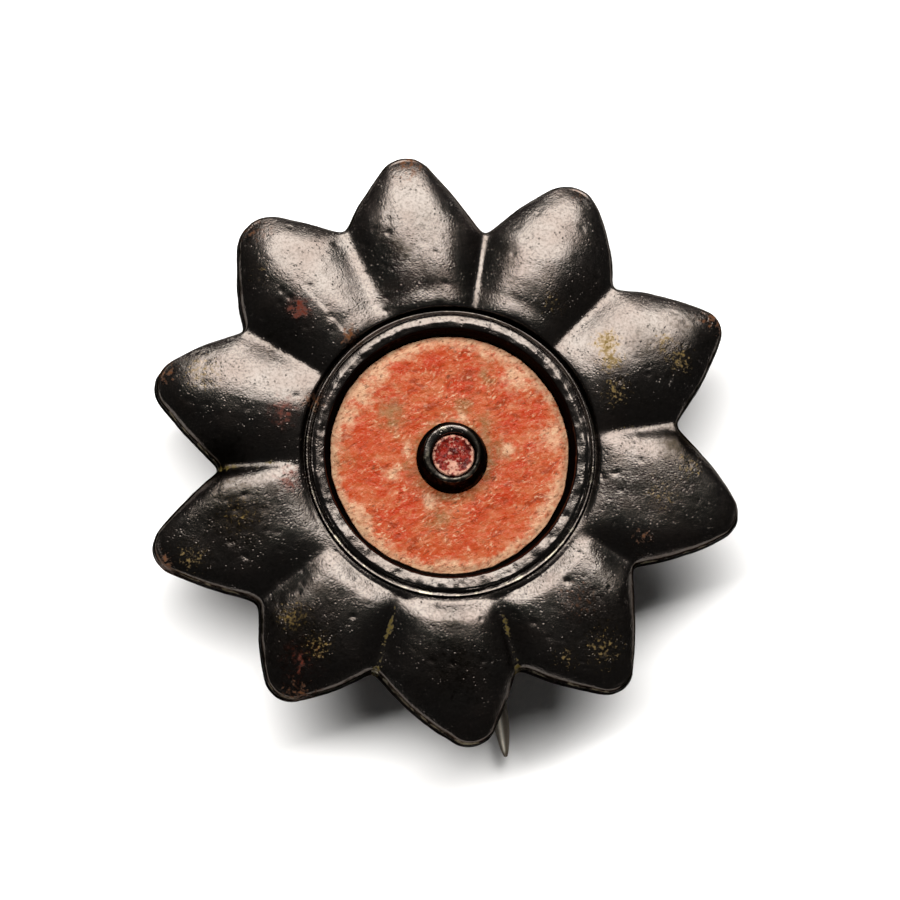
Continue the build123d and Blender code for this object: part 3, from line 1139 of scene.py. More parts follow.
@dataclass(frozen=True)
class RingSection:
    """Hammered ring, fine ridge and the grooves beside them, in millimetres.

    The ring's crest leans towards the brooch's lower side. There the ring's outer flank is tucked in,
    the groove beyond it is filled, the ridge is a ramp, and the outer groove is shallower and rises
    outwards.
    """

    seat: Seat = Seat()
    lip_depth: float = 0.2
    inner: float = 10.7
    outer: float = 11.9
    top: float = 4.7
    lean: float = 0.22
    crest_shift: float = 0.16
    inner_spread: float = 0.44
    outer_spread: float = 0.12
    lower_tuck: float = 0.11
    crown_fall: float = 0.30
    crown_power: float = 1.3
    flank_power: float = 12
    groove_floor: float = 3.95
    groove_fill: float = 0.28
    ridge_inner: float = 12.05
    ridge_outer: float = 12.4
    ridge_top: float = 4.15
    ridge_power: float = 0.7
    ridge_wander_share: float = 0.6
    ramp_share: float = 0.55
    ramp_lead: float = 0.12
    ramp_breadth: float = 0.38
    outer_floor: float = 3.3
    outer_fill: float = 0.76
    outer_slope: float = 0.2
    slope_breadth: float = 0.8
    core_radius: float = 12.5
    wander: Grain = Grain(11, 6.0, 0.05)
    spare: Grain = Grain(12, 2.0, 0.04)
    hammering: Grain = Grain(13, 0.9, 0.08, 2)
    ridge_wear: Grain = Grain(14, 1.3, 0.2)

    def ring(self, radius: np.ndarray, x: np.ndarray, y: np.ndarray) -> np.ndarray:
        """Height of the hammered ring above the groove beyond it.

        Args:
            radius: Distance of each point from the ring's axis.
            x: First coordinate of each point.
            y: Second coordinate of each point.

        Returns:
            One value for each point.
        """
        middle = (self.inner + self.outer) / 2 + self.crest_shift + self.wander.at(x, y)
        middle = middle - self.lean * y / np.maximum(radius, 1)
        tuck = self.lower_tuck * (1 - upper_share(y, radius))
        outward = self.outer + self.outer_spread - tuck - middle
        inward = middle - self.inner + self.inner_spread
        half = np.where(radius > middle, outward, inward) + self.spare.at(x, y)
        aside = np.clip(np.abs(radius - middle) / half, 0, 1)
        fall = self.crown_fall * aside**self.crown_power
        crown = 1 - fall - (1 - self.crown_fall) * aside**self.flank_power
        return (self.top - self.groove_floor) * crown * (1 + self.hammering.at(x, y))

    def ridge(self, radius: np.ndarray, x: np.ndarray, y: np.ndarray) -> np.ndarray:
        """Height of the fine ridge above the groove, a thin wall at the upper side and a ramp at the lower.

        Args:
            radius: Distance of each point from the ring's axis.
            x: First coordinate of each point.
            y: Second coordinate of each point.

        Returns:
            One value for each point.
        """
        upper = upper_share(y, radius)
        middle = (self.ridge_inner + self.ridge_outer) / 2 + self.ridge_wander_share * self.wander.at(x, y)
        half = (self.ridge_outer - self.ridge_inner) / 2
        thin = np.clip(1 - ((radius - middle) / half) ** 2, 0, 1) ** self.ridge_power
        climb = np.clip((radius - self.ridge_inner + self.ramp_lead) / self.ramp_breadth, 0, 1)
        end = smooth_step(radius, self.ridge_outer - 0.09, self.ridge_outer - 0.01)
        ramp = self.ramp_share * climb * (1 - end)
        worn = (thin * upper + ramp * (1 - upper)) * (1.1 + self.ridge_wear.at(x, y))
        return (self.ridge_top - self.groove_floor) * worn

    def ground(self, radius: np.ndarray, y: np.ndarray) -> np.ndarray:
        """Height of the well's flared wall and of the grooves, without ring and ridge.

        Args:
            radius: Distance of each point from the ring's axis.
            y: Second coordinate of each point.

        Returns:
            One value for each point.
        """
        lower = 1 - upper_share(y, radius)
        foot = self.seat.enamel_top - self.lip_depth
        flare = smooth_step(radius, self.seat.well_radius - 0.05, self.inner + 0.15)
        fill = self.groove_fill * lower * smooth_step(radius, self.outer - 0.08, self.outer + 0.03)
        drop = smooth_step(radius, self.ridge_outer - 0.06, self.ridge_outer + 0.08)
        outer = self.outer_floor + self.outer_fill * lower - self.groove_floor
        rise = self.outer_slope * lower * np.clip(radius - self.ridge_outer, 0, self.slope_breadth)
        return foot + (self.groove_floor - foot) * flare + fill * (1 - drop) + outer * drop + rise

    def height(self, radius: np.ndarray, x: np.ndarray, y: np.ndarray) -> np.ndarray:
        """Height above the plate's back, from the well to the outer groove.

        Args:
            radius: Distance of each point from the ring's axis.
            x: First coordinate of each point.
            y: Second coordinate of each point.

        Returns:
            One height for each point.
        """
        return self.ground(radius, y) + self.ring(radius, x, y) + self.ridge(radius, x, y)


@dataclass(frozen=True)
class PlateWear:
    """Dirt, soot and rubbed metal on the plate's face, with painted shade, highlights and reflections.

    Widths and places are in millimetres and strengths go from 0 to 1. A pair gives the value at the
    brooch's lower side and at its upper side, with three exceptions. The reflection side is a direction
    over the plane, reflection_from says how nearly a rim faces it where its painted reflection of the
    floor begins and where it is full, and rim_heights how high over the outline. Rims that face away
    from it get painted shade.
    """

    section: RingSection = RingSection()
    least_dust: float = 0.15
    core_dirt: float = 0.3
    core_dirt_width: float = 0.2
    valley_width: float = 0.22
    valley_widening: float = 0.03
    valley_start: float = 15.0
    valley_waver: Grain = Grain(51, 1.5, 0.25)
    valley_patches: Grain = Grain(52, 0.8, 0.6, 2)
    valley_cover: float = 0.7
    # Bare metal and a painted highlight along the ridge
    ridge_gilt_and_highlight: tuple[float, float] = (0.65, 0.25)
    ridge_gilt_and_highlight_width: float = 0.24
    ridge_patches: Grain = Grain(54, 0.6, 0.7, 2)
    ridge_cover: float = 0.7
    # Soot and painted shade in the outer groove and on the well's wall
    groove_soot_and_shade: tuple[float, float] = (0.1, 0.8)
    groove_soot_and_shade_place: float = 0.05
    groove_soot_and_shade_width: tuple[float, float] = (0.07, 0.16)
    well_soot_and_shade_breadth: tuple[float, float] = (0.17, 0.48)
    well_soot_and_shade_blur: float = 0.1
    # Painted reflection and painted shade on the rims, by the side they face
    reflection_side: tuple[float, float] = (-0.4, -0.92)
    reflection_waver: Grain = Grain(53, 2.0, 0.2)
    reflection_from: tuple[float, float] = (0.45, 0.9)
    rim_shade: float = 0.9
    rim_shade_width: float = 0.3
    rim_reflection_width: float = 0.12
    rim_patches: Grain = Grain(55, 0.7, 0.7, 2)
    rim_cover: float = 0.75
    rim_heights: tuple[float, float] = (0.08, 0.4)

    def valleys(self, x: np.ndarray, y: np.ndarray, radius: np.ndarray, bearing: np.ndarray) -> np.ndarray:
        """Dirt in the valleys between the petals and along the petals' inner ends.

        Args:
            x: First coordinate of each point.
            y: Second coordinate of each point.
            radius: Distance of each point from the ring's axis.
            bearing: Bearing of each column.

        Returns:
            One value for each point.
        """
        core = self.section.core_radius
        width = self.valley_width + self.valley_widening * np.maximum(radius - core, 0)
        cover = self.valley_patches.patches(x, y, self.valley_cover)
        cover = smooth_step(radius, core, self.valley_start) * cover
        waver = self.valley_waver.at(x, y)
        dirt = self.core_dirt * hump(radius, core, self.core_dirt_width)
        for petal in PETALS:
            turn = (bearing - petal.notch + 180) % 360 - 180
            aside = radius * np.sin(np.radians(np.clip(turn, -60, 60))) + waver
            dirt = np.maximum(dirt, petal.grime * cover * hump(aside, 0, width))
        return dirt

    def ridge(self, x: np.ndarray, y: np.ndarray, radius: np.ndarray, upper: np.ndarray) -> np.ndarray:
        """Bare metal along the fine ridge, with a painted highlight: much stronger at the brooch's lower
        side.

        Args:
            x: First coordinate of each point.
            y: Second coordinate of each point.
            radius: Distance of each point from the ring's axis.
            upper: How far up the brooch each point's bearing lies.

        Returns:
            One value for each point.
        """
        middle = (self.section.ridge_inner + self.section.ridge_outer) / 2
        # Painted highlight: the ridge's bare metal is stronger at the lower side
        wear_and_highlight = between(self.ridge_gilt_and_highlight, upper) * self.ridge_patches.patches(x, y, self.ridge_cover)
        return wear_and_highlight * hump(radius, middle, self.ridge_gilt_and_highlight_width)

    def hollows_and_shade(self, radius: np.ndarray, upper: np.ndarray) -> np.ndarray:
        """Soot on the well's wall and in the outer groove, with painted shade: far darker and wider at the
        brooch's upper side.

        Args:
            radius: Distance of each point from the ring's axis.
            upper: How far up the brooch each point's bearing lies.

        Returns:
            One value for each point.
        """
        # Painted shade: the soot grows darker and wider towards the brooch's upper side
        place = self.section.ridge_outer + self.groove_soot_and_shade_place
        width = between(self.groove_soot_and_shade_width, upper)
        groove = between(self.groove_soot_and_shade, upper) * hump(radius, place, width)
        breadth = between(self.well_soot_and_shade_breadth, 1 - (1 - upper) ** 2)
        past = radius - (self.section.seat.well_radius + breadth)
        return np.maximum(groove, 1 - smooth_step(past, -self.well_soot_and_shade_blur, self.well_soot_and_shade_blur))

    def rim_reflection(self, rim: np.ndarray) -> np.ndarray:
        """How strongly the floor's reflection is painted on the rim at each column, from the side that it
        faces; the rims facing away get painted shade.

        Args:
            rim: Outermost ring of points.

        Returns:
            One value for each column, from 0 to 1.
        """
        along = np.roll(rim, -1, axis=0) - np.roll(rim, 1, axis=0)
        outward = np.column_stack([along[:, 1], -along[:, 0]]) / np.hypot(along[:, 0], along[:, 1])[:, None]
        facing = outward @ np.array(self.reflection_side) + self.reflection_waver.at(rim[:, 0], rim[:, 1])
        return smooth_step(facing, *self.reflection_from)

    def marks(
        self, points: np.ndarray, bearing: np.ndarray, gap: np.ndarray, edge: float
    ) -> dict[Mark, np.ndarray]:
        """Where age has marked the face, and where shade, a highlight and a reflection are painted.

        Args:
            points: Rings by columns by 3.
            bearing: Bearing of each column.
            gap: Distance from the outline, for the rings outside the core.
            edge: Height of the outline.

        Returns:
            One array of rings by columns for each mark.
        """
        x, y = points[..., 0], points[..., 1]
        radius = np.hypot(x, y)
        upper = upper_share(y, radius)
        marks = {mark: blotted(PLATE_BLOTS, mark, points) for mark in Mark}
        marks[Mark.DUST_AND_SHADE] = np.maximum(marks[Mark.DUST_AND_SHADE], self.least_dust)
        marks[Mark.DIRT] = self.valleys(x, y, radius, bearing)
        marks[Mark.GILT_AND_HIGHLIGHT] = self.ridge(x, y, radius, upper)
        marks[Mark.SOOT_AND_SHADE] = self.hollows_and_shade(radius, upper)
        petals = slice(-len(gap), None)
        # Painted reflection of the floor on rims facing the lower left, and painted shade on the other rims
        reflecting = self.rim_reflection(points[-1])
        soot_and_shade = self.rim_shade * (1 - reflecting) * hump(gap, 0, self.rim_shade_width)
        marks[Mark.SOOT_AND_SHADE][petals] = np.maximum(marks[Mark.SOOT_AND_SHADE][petals], soot_and_shade)
        reflecting = reflecting * smooth_step(points[petals, :, 2] - edge, *self.rim_heights)
        reflecting = reflecting * self.rim_patches.patches(x[petals], y[petals], self.rim_cover)
        marks[Mark.GILT_AND_HIGHLIGHT][petals] += reflecting * hump(gap, 0, self.rim_reflection_width)
        return marks


@dataclass
class Plate(Part):
    """Cast plate: ten domed petals round the ring and the sunken floor, in millimetres.

    The petals' crests rise over the edge by the dome's rise times their crown shares, which stand at
    the crown places from the core to the tip. The inner lift is that of the lowest and of the highest
    petal, and the valley passes are those at the notches and at the ring. The wall under the rim and
    the back follow the outline, at the shares given of its height and of its reach.
    """

    slot = Slot.PATINA
    node = "plate"
    outline: Outline = Outline()
    section: RingSection = RingSection()
    wear: PlateWear = PlateWear()
    edge_thickness: float = 2.2
    edge_drop: float = 0.6
    dome_rise: float = 2.9
    crown_places: tuple[float, ...] = (0, 0.06, 0.155, 0.235, 0.44, 0.68, 0.845, 0.95, 1.0)
    crown_shares: tuple[float, ...] = (0.70, 0.79, 0.875, 0.89, 0.83, 0.66, 0.475, 0.26, 0.10)
    crest_bend: tuple[float, float] = (0.2, 1.0)
    inner_lift: tuple[float, float] = (-0.10, 0.15)
    inner_lift_reach: float = 0.16
    valley_rise: float = 0.6
    valley_climb: float = 1.15
    least_spread: float = 0.05
    shoulder_breadth: float = 0.31
    shoulder_growth: float = 1.4
    shoulder_lead: float = 0.05
    rim_rounding: float = 0.3
    rim_unevenness: Grain = Grain(23, 4.0, 0.25)
    raggedness: Grain = Grain(22, 2.4, 0.07, 3)
    casting: Grain = Grain(21, 3.4, 0.03, 4)
    pits: Pits = Pits(count=520, reach=27.0, radius=(0.16, 0.42), depth=(0.015, 0.085), seed=31)
    wall_shares: tuple[float, ...] = (0.95, 0.8, 0.56, 0.34, 0.17, 0.06)
    wall_bulge: float = 0.08
    bulge_skew: float = 1.15
    wall_wave: Grain = Grain(41, 1.8, 0.06, 2)
    wall_soot: float = 0.9
    floor_radii: tuple[float, ...] = (0.4, 5.0)
    back_edge: tuple[tuple[float, float], ...] = ((0.12, 0.01), (0.3, 0.0))
    back_shares: tuple[float, ...] = (0.93, 0.8, 0.6, 0.4, 0.2, 0.02)
    crisp_passes: int = 6
    notch_passes: int = 8
    notch_reach: int = 7
    valley_passes: tuple[int, int] = (10, 110)
    steps: int = 64
    inner_rings: tuple[int, int, int] = (6, 17, 17)
    shoulder_rings: int = 8
    shoulder_share: float = 0.05
    petal_rings: int = 76
    crowding: float = 1.35

    @property
    def edge(self) -> float:
        """Height of the outline, where the rounded rim meets the wall."""
        return self.edge_thickness - self.edge_drop

    def bearings(self) -> tuple[np.ndarray, np.ndarray, np.ndarray]:
        """Spread the columns of points evenly along the outline.

        Returns:
            Bearing in degrees, outline radius and petal of each column.
        """
        bearing, limit = [], []
        for index, petal in enumerate(PETALS):
            x, y = evenly_spaced(self.outline.whole(index), self.steps)
            turn = np.degrees(np.arctan2(y, x))
            bearing.append(turn + 360 * np.round((petal.tip - turn) / 360))
            limit.append(np.hypot(x, y))
        owner = np.repeat(np.arange(len(PETALS)), self.steps)
        limit = rounded = np.concatenate(limit)
        for _ in range(self.notch_passes):
            rounded = around_mean(rounded[None, :])[0]
        place = np.arange(len(limit)) % self.steps
        near_notch = hump(np.minimum(place, self.steps - place), 0, self.notch_reach)
        return np.concatenate(bearing), limit + (rounded - limit) * near_notch, owner

    def dome(self, bearing: np.ndarray, radius: np.ndarray, index: int) -> np.ndarray:
        """Height of a petal's dome above the plate's back.

        Args:
            bearing: Bearing of each point, in degrees.
            radius: Distance of each point from the ring's axis.
            index: The petal.

        Returns:
            One height for each point.
        """
        petal = PETALS[index]
        core = self.section.core_radius
        along = np.clip((radius - core) / (self.outline.petal_reach * petal.reach - core), 0, 1)
        crest = petal.crest + (petal.tip - petal.crest) * smooth_step(along, *self.crest_bend)
        crown = smooth_curve(along, self.crown_places, self.crown_shares)
        lift = between(self.inner_lift, 0.5 + 0.5 * math.sin(math.radians(petal.tip)))
        crown = crown + lift * (1 - smooth_step(along, 0, self.inner_lift_reach))
        crown = self.edge_thickness + self.dome_rise * petal.rise * crown
        height = np.zeros_like(radius)
        for turn in (-1, 1):
            line = self.outline.half(index, turn)[::-1]
            reaches = np.maximum.accumulate(np.hypot(*line.T))
            angles = np.degrees(np.arctan2(line[:, 1], line[:, 0]))
            angles += 360 * np.round((petal.tip - angles) / 360)
            side = np.interp(radius, reaches, angles)
            spread = np.maximum(np.abs(side - crest), self.least_spread)
            across = np.clip(np.abs(bearing - crest) / spread, 0, 1)
            inward = np.clip((reaches[0] - radius) / (reaches[0] - core), 0, 1)
            valley = self.edge_thickness + self.valley_rise + self.valley_climb * smooth_step(inward, 0, 1)
            this = valley + np.maximum(crown - valley, 0) * (1 - across**petal.dome_fullness)
            height = np.where((bearing - crest) * turn >= 0, this, height)
        return height

    def soften(self, heights: np.ndarray, bearing: np.ndarray) -> np.ndarray:
        """Round the valleys between petals, more at the ring than at the notches.

        Args:
            heights: Heights of the domes, as rings by columns.
            bearing: Bearing of each column.

        Returns:
            The rounded heights.
        """
        notches = np.array([petal.notch for petal in PETALS])
        nearest = np.argmin(np.abs((bearing[:, None] - notches + 180) % 360 - 180), axis=1)
        wide = np.array([petal.softness for petal in PETALS])[nearest]
        passes = between(self.valley_passes, (1 - np.linspace(0, 1, len(heights))) ** 1.5)
        crisp = rounded = heights
        for turn in range(max(self.valley_passes)):
            rounded = np.where(passes[:, None] > turn, around_mean(rounded), rounded)
            if turn == self.crisp_passes:
                crisp = rounded
        return crisp + (rounded - crisp) * wide

    def edge_gap(self, x: np.ndarray, y: np.ndarray) -> np.ndarray:
        """Distance of each point from the outermost ring's line, near its own column.

        Args:
            x: First coordinate of each point.
            y: Second coordinate of each point.

        Returns:
            Distances as rings by columns.
        """
        gap = np.zeros_like(x)
        count = x.shape[1]
        for column in range(count):
            near = np.arange(column - self.steps, column + self.steps + 1) % count
            dx, dy = x[:, column, None] - x[-1, near], y[:, column, None] - y[-1, near]
            gap[:, column] = np.sqrt(np.min(dx**2 + dy**2, axis=1))
        return gap

    def reaches(self, limit: np.ndarray) -> tuple[np.ndarray, np.ndarray]:
        """Radii of the rings of points at each column.

        Args:
            limit: Outline radius of each column.

        Returns:
            Radii inside the core, and from the core to the outline, where they crowd together.
        """
        section = self.section
        stops = (section.seat.well_radius, section.inner, section.outer, section.core_radius)
        spans = zip(stops, stops[1:], self.inner_rings)
        inner = np.concatenate([np.linspace(*span, endpoint=False) for span in spans])
        share = 1 - (1 - np.linspace(0, 1, self.petal_rings)) ** self.crowding
        share = between((self.shoulder_share, 1.0), share)
        shoulder = np.linspace(0, self.shoulder_share, self.shoulder_rings, endpoint=False)
        share = np.concatenate([shoulder, share])
        outer = section.core_radius + share[:, None] * (limit[None, :] - section.core_radius)
        return np.repeat(inner[:, None], len(limit), axis=1), outer

    def petals(
        self, bearing: np.ndarray, owner: np.ndarray, radius: np.ndarray, x: np.ndarray, y: np.ndarray
    ) -> np.ndarray:
        """Height of the petals and of the shoulder that joins them to the ring.

        Args:
            bearing: Bearing of each column.
            owner: Petal of each column.
            radius: Distance of each point from the ring's axis.
            x: First coordinate of each point.
            y: Second coordinate of each point.

        Returns:
            Heights as rings by columns, before the rim is rounded.
        """
        wide = np.broadcast_to(bearing[None, :], radius.shape)
        domes = np.zeros_like(radius)
        for index in range(len(PETALS)):
            mine = owner == index
            domes[:, mine] = self.dome(wide[:, mine], radius[:, mine], index)
        domes = self.soften(domes, bearing) + self.casting.at(x, y)
        breadth = self.shoulder_breadth * (1 + self.shoulder_growth * (1 - upper_share(y, radius)))
        past = radius - self.section.core_radius + self.shoulder_lead
        lift = smooth_step(past / breadth, 0, 1) ** 0.7
        heights = self.section.height(radius, x, y) * (1 - lift) + domes * lift
        return heights - self.pits.at(x, y) * lift

    def face(self) -> tuple[np.ndarray, dict[Mark, np.ndarray]]:
        """Face of the plate from the foot of its well to the top of its edge.

        Returns:
            Points as rings by columns by 3, and its marks.
        """
        bearing, limit, owner = self.bearings()
        cosine, sine = np.cos(np.radians(bearing)), np.sin(np.radians(bearing))
        inner, outer = self.reaches(limit + self.raggedness.at(limit * cosine, limit * sine))
        x, y = outer * cosine, outer * sine
        gap = self.edge_gap(x, y)
        fall = np.clip(gap / (self.rim_rounding * (1 + self.rim_unevenness.at(x, y))), 0, 1)
        heights = self.petals(bearing, owner, outer, x, y)
        heights = self.edge + (heights - self.edge) * np.sqrt(1 - (1 - fall) ** 2)
        petals = np.stack([x, y, heights], -1)
        x, y = inner * cosine, inner * sine
        rings = np.stack([x, y, self.section.height(inner, x, y)], -1)
        points = np.concatenate([rings, petals])
        return points, self.wear.marks(points, bearing, gap, self.edge)

    def build(self) -> bpy.types.Object:
        """Build the plate as one closed mesh with its marks.

        Returns:
            The piece.
        """
        face, marks = self.face()
        rim = face[-1]
        reach = np.hypot(rim[:, 0], rim[:, 1])
        spoke = rim[:, :2] / reach[:, None]
        floor_height = self.section.seat.enamel_floor - self.section.seat.gap

        def ring_at(radius: np.ndarray | float, height: np.ndarray | float) -> np.ndarray:
            """One ring of points at a radius and a height."""
            flat = spoke * np.broadcast_to(radius, reach.shape)[:, None]
            return np.column_stack([flat, np.broadcast_to(height, reach.shape)])

        radii = (*self.floor_radii, self.section.seat.well_radius)
        floor = [ring_at(radius, floor_height) for radius in radii]
        bulge = self.wall_bulge + self.wall_wave.at(rim[:, 0], rim[:, 1])
        wall = []
        for share in self.wall_shares:
            out = bulge * math.sin(math.pi * min(share * self.bulge_skew, 1.0))
            wall.append(ring_at(reach + out, rim[:, 2] * share))
        back = [ring_at(reach - inset, height) for inset, height in self.back_edge]
        back += [ring_at(reach * share, 0.0) for share in self.back_shares]
        rings = np.concatenate([np.array(floor), face, np.array(wall), np.array(back)])
        face_rings = slice(len(floor), len(floor) + len(face))
        wall_rings = slice(face_rings.stop, face_rings.stop + len(wall))
        grown = {mark: np.zeros(rings.shape[:2]) for mark in marks}
        for mark, value in marks.items():
            grown[mark][face_rings] = value
            grown[mark][wall_rings] = value[-1]
        grown[Mark.GILT_AND_HIGHLIGHT][wall_rings] = 0
        grown[Mark.SOOT_AND_SHADE][wall_rings] = self.wall_soot
        return Skin("plate_casting", rings, (0, 0, floor_height), (0, 0, 0), grown).build()


# Pin, holder and catch


@dataclass(frozen=True)
class PinLine:
    """Line of the pin under the plate, in millimetres and degrees."""

    offset: float = 2.05
    slant: float = 7.5
    cloth_gap: float = 4.4
    pin_radius: float = 0.7

    def place(self, across: object, up: object, along: object) -> np.ndarray:
        """Points in the brooch's frame.

        Args:
            across: Distance to the side of the line.
            up: Height above the line.
            along: Distance towards the point of the pin.

        Returns:
            Points, with one more axis than the arguments.
        """
        turn = math.radians(self.slant)
        across, up, along = np.broadcast_arrays(across, up, along)
        x = self.offset + across * math.cos(turn) + along * math.sin(turn)
        y = across * math.sin(turn) - along * math.cos(turn)
        return np.stack([x, y, up - self.cloth_gap - self.pin_radius], axis=-1)

    def point(self, up: float, along: float) -> tuple[float, float, float]:
        """One point over the line."""
        return tuple(float(part) for part in self.place(0.0, up, along))


@dataclass
class Pin(Part):
    """Straight wire with a long point, slightly worn, in millimetres.

    A painted highlight runs along it as a bright stripe, at a bearing round the wire in radians. The
    shares at its head and at its point round off its ends.
    """

    slot = Slot.PIN
    node = "pin"
    line: PinLine = PinLine()
    start: float = -15.95
    reach: float = 25.3
    point_length: float = 3.6
    point_radius: float = 0.12
    head_shares: tuple[float, ...] = (0.8, 0.93, 1.0)
    point_shares: tuple[float, ...] = (0.8, 0.35)
    point_powers: tuple[float, float] = (1.9, 0.8)
    thinning: float = 0.02
    unevenness: Grain = Grain(61, 1.4, 0.02, 3)
    # Painted highlight stripe along the wire
    highlight_bearing: float = 1.85
    highlight_width: float = 0.27
    least_highlight: float = 0.05
    point_fade: float = 0.9
    shank_rings: int = 120
    point_rings: int = 44
    around: int = 48

    def build(self) -> bpy.types.Object:
        """Build the pin as one closed mesh.

        Returns:
            The piece.
        """
        radius = self.line.pin_radius
        taper = self.reach - self.point_length
        along = np.concatenate([
            [self.start, self.start + 0.02, self.start + 0.12],
            np.linspace(self.start + 0.4, taper, self.shank_rings),
            taper + self.point_length * np.linspace(0.02, 0.985, self.point_rings),
            [self.reach - 0.02, self.reach],
        ])
        share = np.clip((along - taper) / self.point_length, 0, 1)
        bend, blunt = self.point_powers
        size = self.point_radius + (radius - self.point_radius) * np.clip(1 - share**bend, 0, 1) ** blunt
        size[:3] = radius * np.array(self.head_shares)
        size[-2:] = self.point_radius * np.array(self.point_shares)
        angle = np.linspace(0, TURN, self.around, endpoint=False)[None, :]
        run = along[:, None] + 0 * angle
        uneven = self.unevenness.at(run + np.cos(angle), 1.2 * np.sin(angle) + 0 * run)
        thick = size[:, None] * (1 - self.thinning - uneven)
        rings = self.line.place(thick * np.cos(angle), thick * np.sin(angle), run)
        ends = (self.line.point(0, self.start), self.line.point(0, self.reach))
        # Painted highlight: a pale stripe along the wire's upper left, faded at the point
        wear_and_highlight = self.least_highlight + hump(angle, self.highlight_bearing, self.highlight_width)
        wear_and_highlight = wear_and_highlight * (1 - self.point_fade * smooth_step(run, self.reach - 0.7, self.reach - 0.2))
        return Skin("pin_wire", rings, *ends, {Mark.GILT_AND_HIGHLIGHT: wear_and_highlight}, flipped=True).build()


@dataclass
class Holder(Part):
    """Block cast on the back, bored for the head of the pin, in millimetres."""

    slot = Slot.PATINA
    node = "plate"
    line: PinLine = PinLine()
    back_end: float = -17.0
    length: float = 5.0
    breadth: float = 9.0
    end_wall: float = 1.0
    foot: float = -1.8
    top: float = 5.9
    corner: float = 0.7
    bore: float = 0.75
    bore_rounding: float = 0.15
    rounding: float = 0.45
    casting: Grain = Grain(71, 2.2, 0.012, 3)
    around: int = 120

    def outline(self, inset: float) -> tuple[np.ndarray, np.ndarray]:
        """Rounded rectangle across the pin, drawn in by an inset.

        Args:
            inset: How far it is drawn in.

        Returns:
            Distance to the side and height of each point.
        """
        corner = self.corner - 0.5 * inset
        half, low = self.breadth / 2 - inset, self.foot + inset
        across, up = [], []
        corners = ((half, self.top, 0), (-half, self.top, 90), (-half, low, 180), (half, low, 270))
        for x, y, begin in corners:
            turn = np.radians(np.linspace(begin, begin + 90, 9))
            across += list(x - math.copysign(corner, x) + corner * np.cos(turn))
            up += list(y - math.copysign(corner, y) + corner * np.sin(turn))
        line = np.array([across, up]).T
        return evenly_spaced(np.vstack([line, line[:1]]), self.around)

    def build(self) -> bpy.types.Object:
        """Build the holder as one closed mesh with its blind bore.

        Returns:
            The piece.
        """
        front = self.back_end + self.length
        bend = [(self.rounding * (1 - math.sin(t)), self.rounding * (1 - math.cos(t)))
                for t in np.radians([0, 22.5, 45, 67.5, 90])]
        stops = [(inset, self.back_end + depth) for inset, depth in bend]
        stops += [(0.0, along) for along in np.linspace(self.back_end + 1, front - 1, 6)]
        stops += [(inset, front - depth) for inset, depth in bend[::-1]]
        rings = []
        for inset, along in stops:
            across, up = self.outline(inset)
            swell = 1 + self.casting.at(across + along, up + 2 * along)
            rings.append(self.line.place(across * swell, up, along))
        across, up = self.outline(self.rounding)
        turn = np.arctan2(up, across)
        bore_end = self.back_end + self.end_wall
        mouth = (self.bore + self.bore_rounding, front)
        for radius, along in (mouth, (self.bore, front - 0.12), (self.bore, bore_end)):
            rings.append(self.line.place(radius * np.cos(turn), radius * np.sin(turn), along))
        ends = (self.line.point(2.0, self.back_end), self.line.point(0, bore_end))
        return Skin("pin_holder", np.array(rings), *ends, flipped=True).build()


@dataclass
class Catch(Part):
    """Stem with a hook that the pin springs into, in millimetres and degrees."""

    slot = Slot.PATINA
    node = "plate"
    line: PinLine = PinLine()
    near_end: float = 11.0
    length: float = 4.5
    bore: float = 0.8
    outer: float = 1.8
    corner: float = 0.5
    lip: float = 0.35
    lip_chamfer: float = 0.2
    top: float = 5.9
    rounding: float = 0.18
    rounded_from: float = 40
    layers: int = 10

    def section(self) -> np.ndarray:
        """Closed outline of the hook across the pin, anticlockwise.

        Returns:
            Distance to the side and height of each point.
        """
        middle = self.outer - self.corner
        left, right = np.radians(np.linspace(180, 270, 7)), np.radians(np.linspace(270, 360, 7))
        lip = math.degrees(math.asin(self.lip / self.bore))
        hollow = np.radians(np.linspace(lip, -180, 21))
        return np.vstack([
            np.column_stack([self.corner * np.cos(left) - middle, self.corner * np.sin(left) - middle]),
            np.column_stack([self.corner * np.cos(right) + middle, self.corner * np.sin(right) - middle]),
            [(self.outer, self.lip - self.lip_chamfer), (self.outer - self.lip_chamfer, self.lip)],
            np.column_stack([self.bore * np.cos(hollow), self.bore * np.sin(hollow)]),
            [(-self.bore, self.top), (-self.outer, self.top)],
        ])

    def build(self) -> bpy.types.Object:
        """Build the catch from its outline, with rounded edges.

        Returns:
            The piece.
        """
        section = self.section()
        count = len(section)
        stops = np.linspace(self.near_end, self.near_end + self.length, self.layers)
        rings = np.array([self.line.place(section[:, 0], section[:, 1], stop) for stop in stops])
        far = count * (self.layers - 1)
        faces = [tuple(range(count))[::-1], tuple(range(far, far + count))]
        for layer in range(self.layers - 1):
            low, high = layer * count, (layer + 1) * count
            for here in range(count):
                after = (here + 1) % count
                faces.append((low + here, low + after, high + after, high + here))
        piece = add_piece("pin_catch", rings.reshape(-1, 3), faces)
        bevel = piece.modifiers.new("rounding", "BEVEL")
        bevel.width, bevel.segments, bevel.limit_method = self.rounding * MM, 3, "ANGLE"
        bevel.angle_limit = math.radians(self.rounded_from)
        bevel.harden_normals = True
        return piece


# Enamel and collar


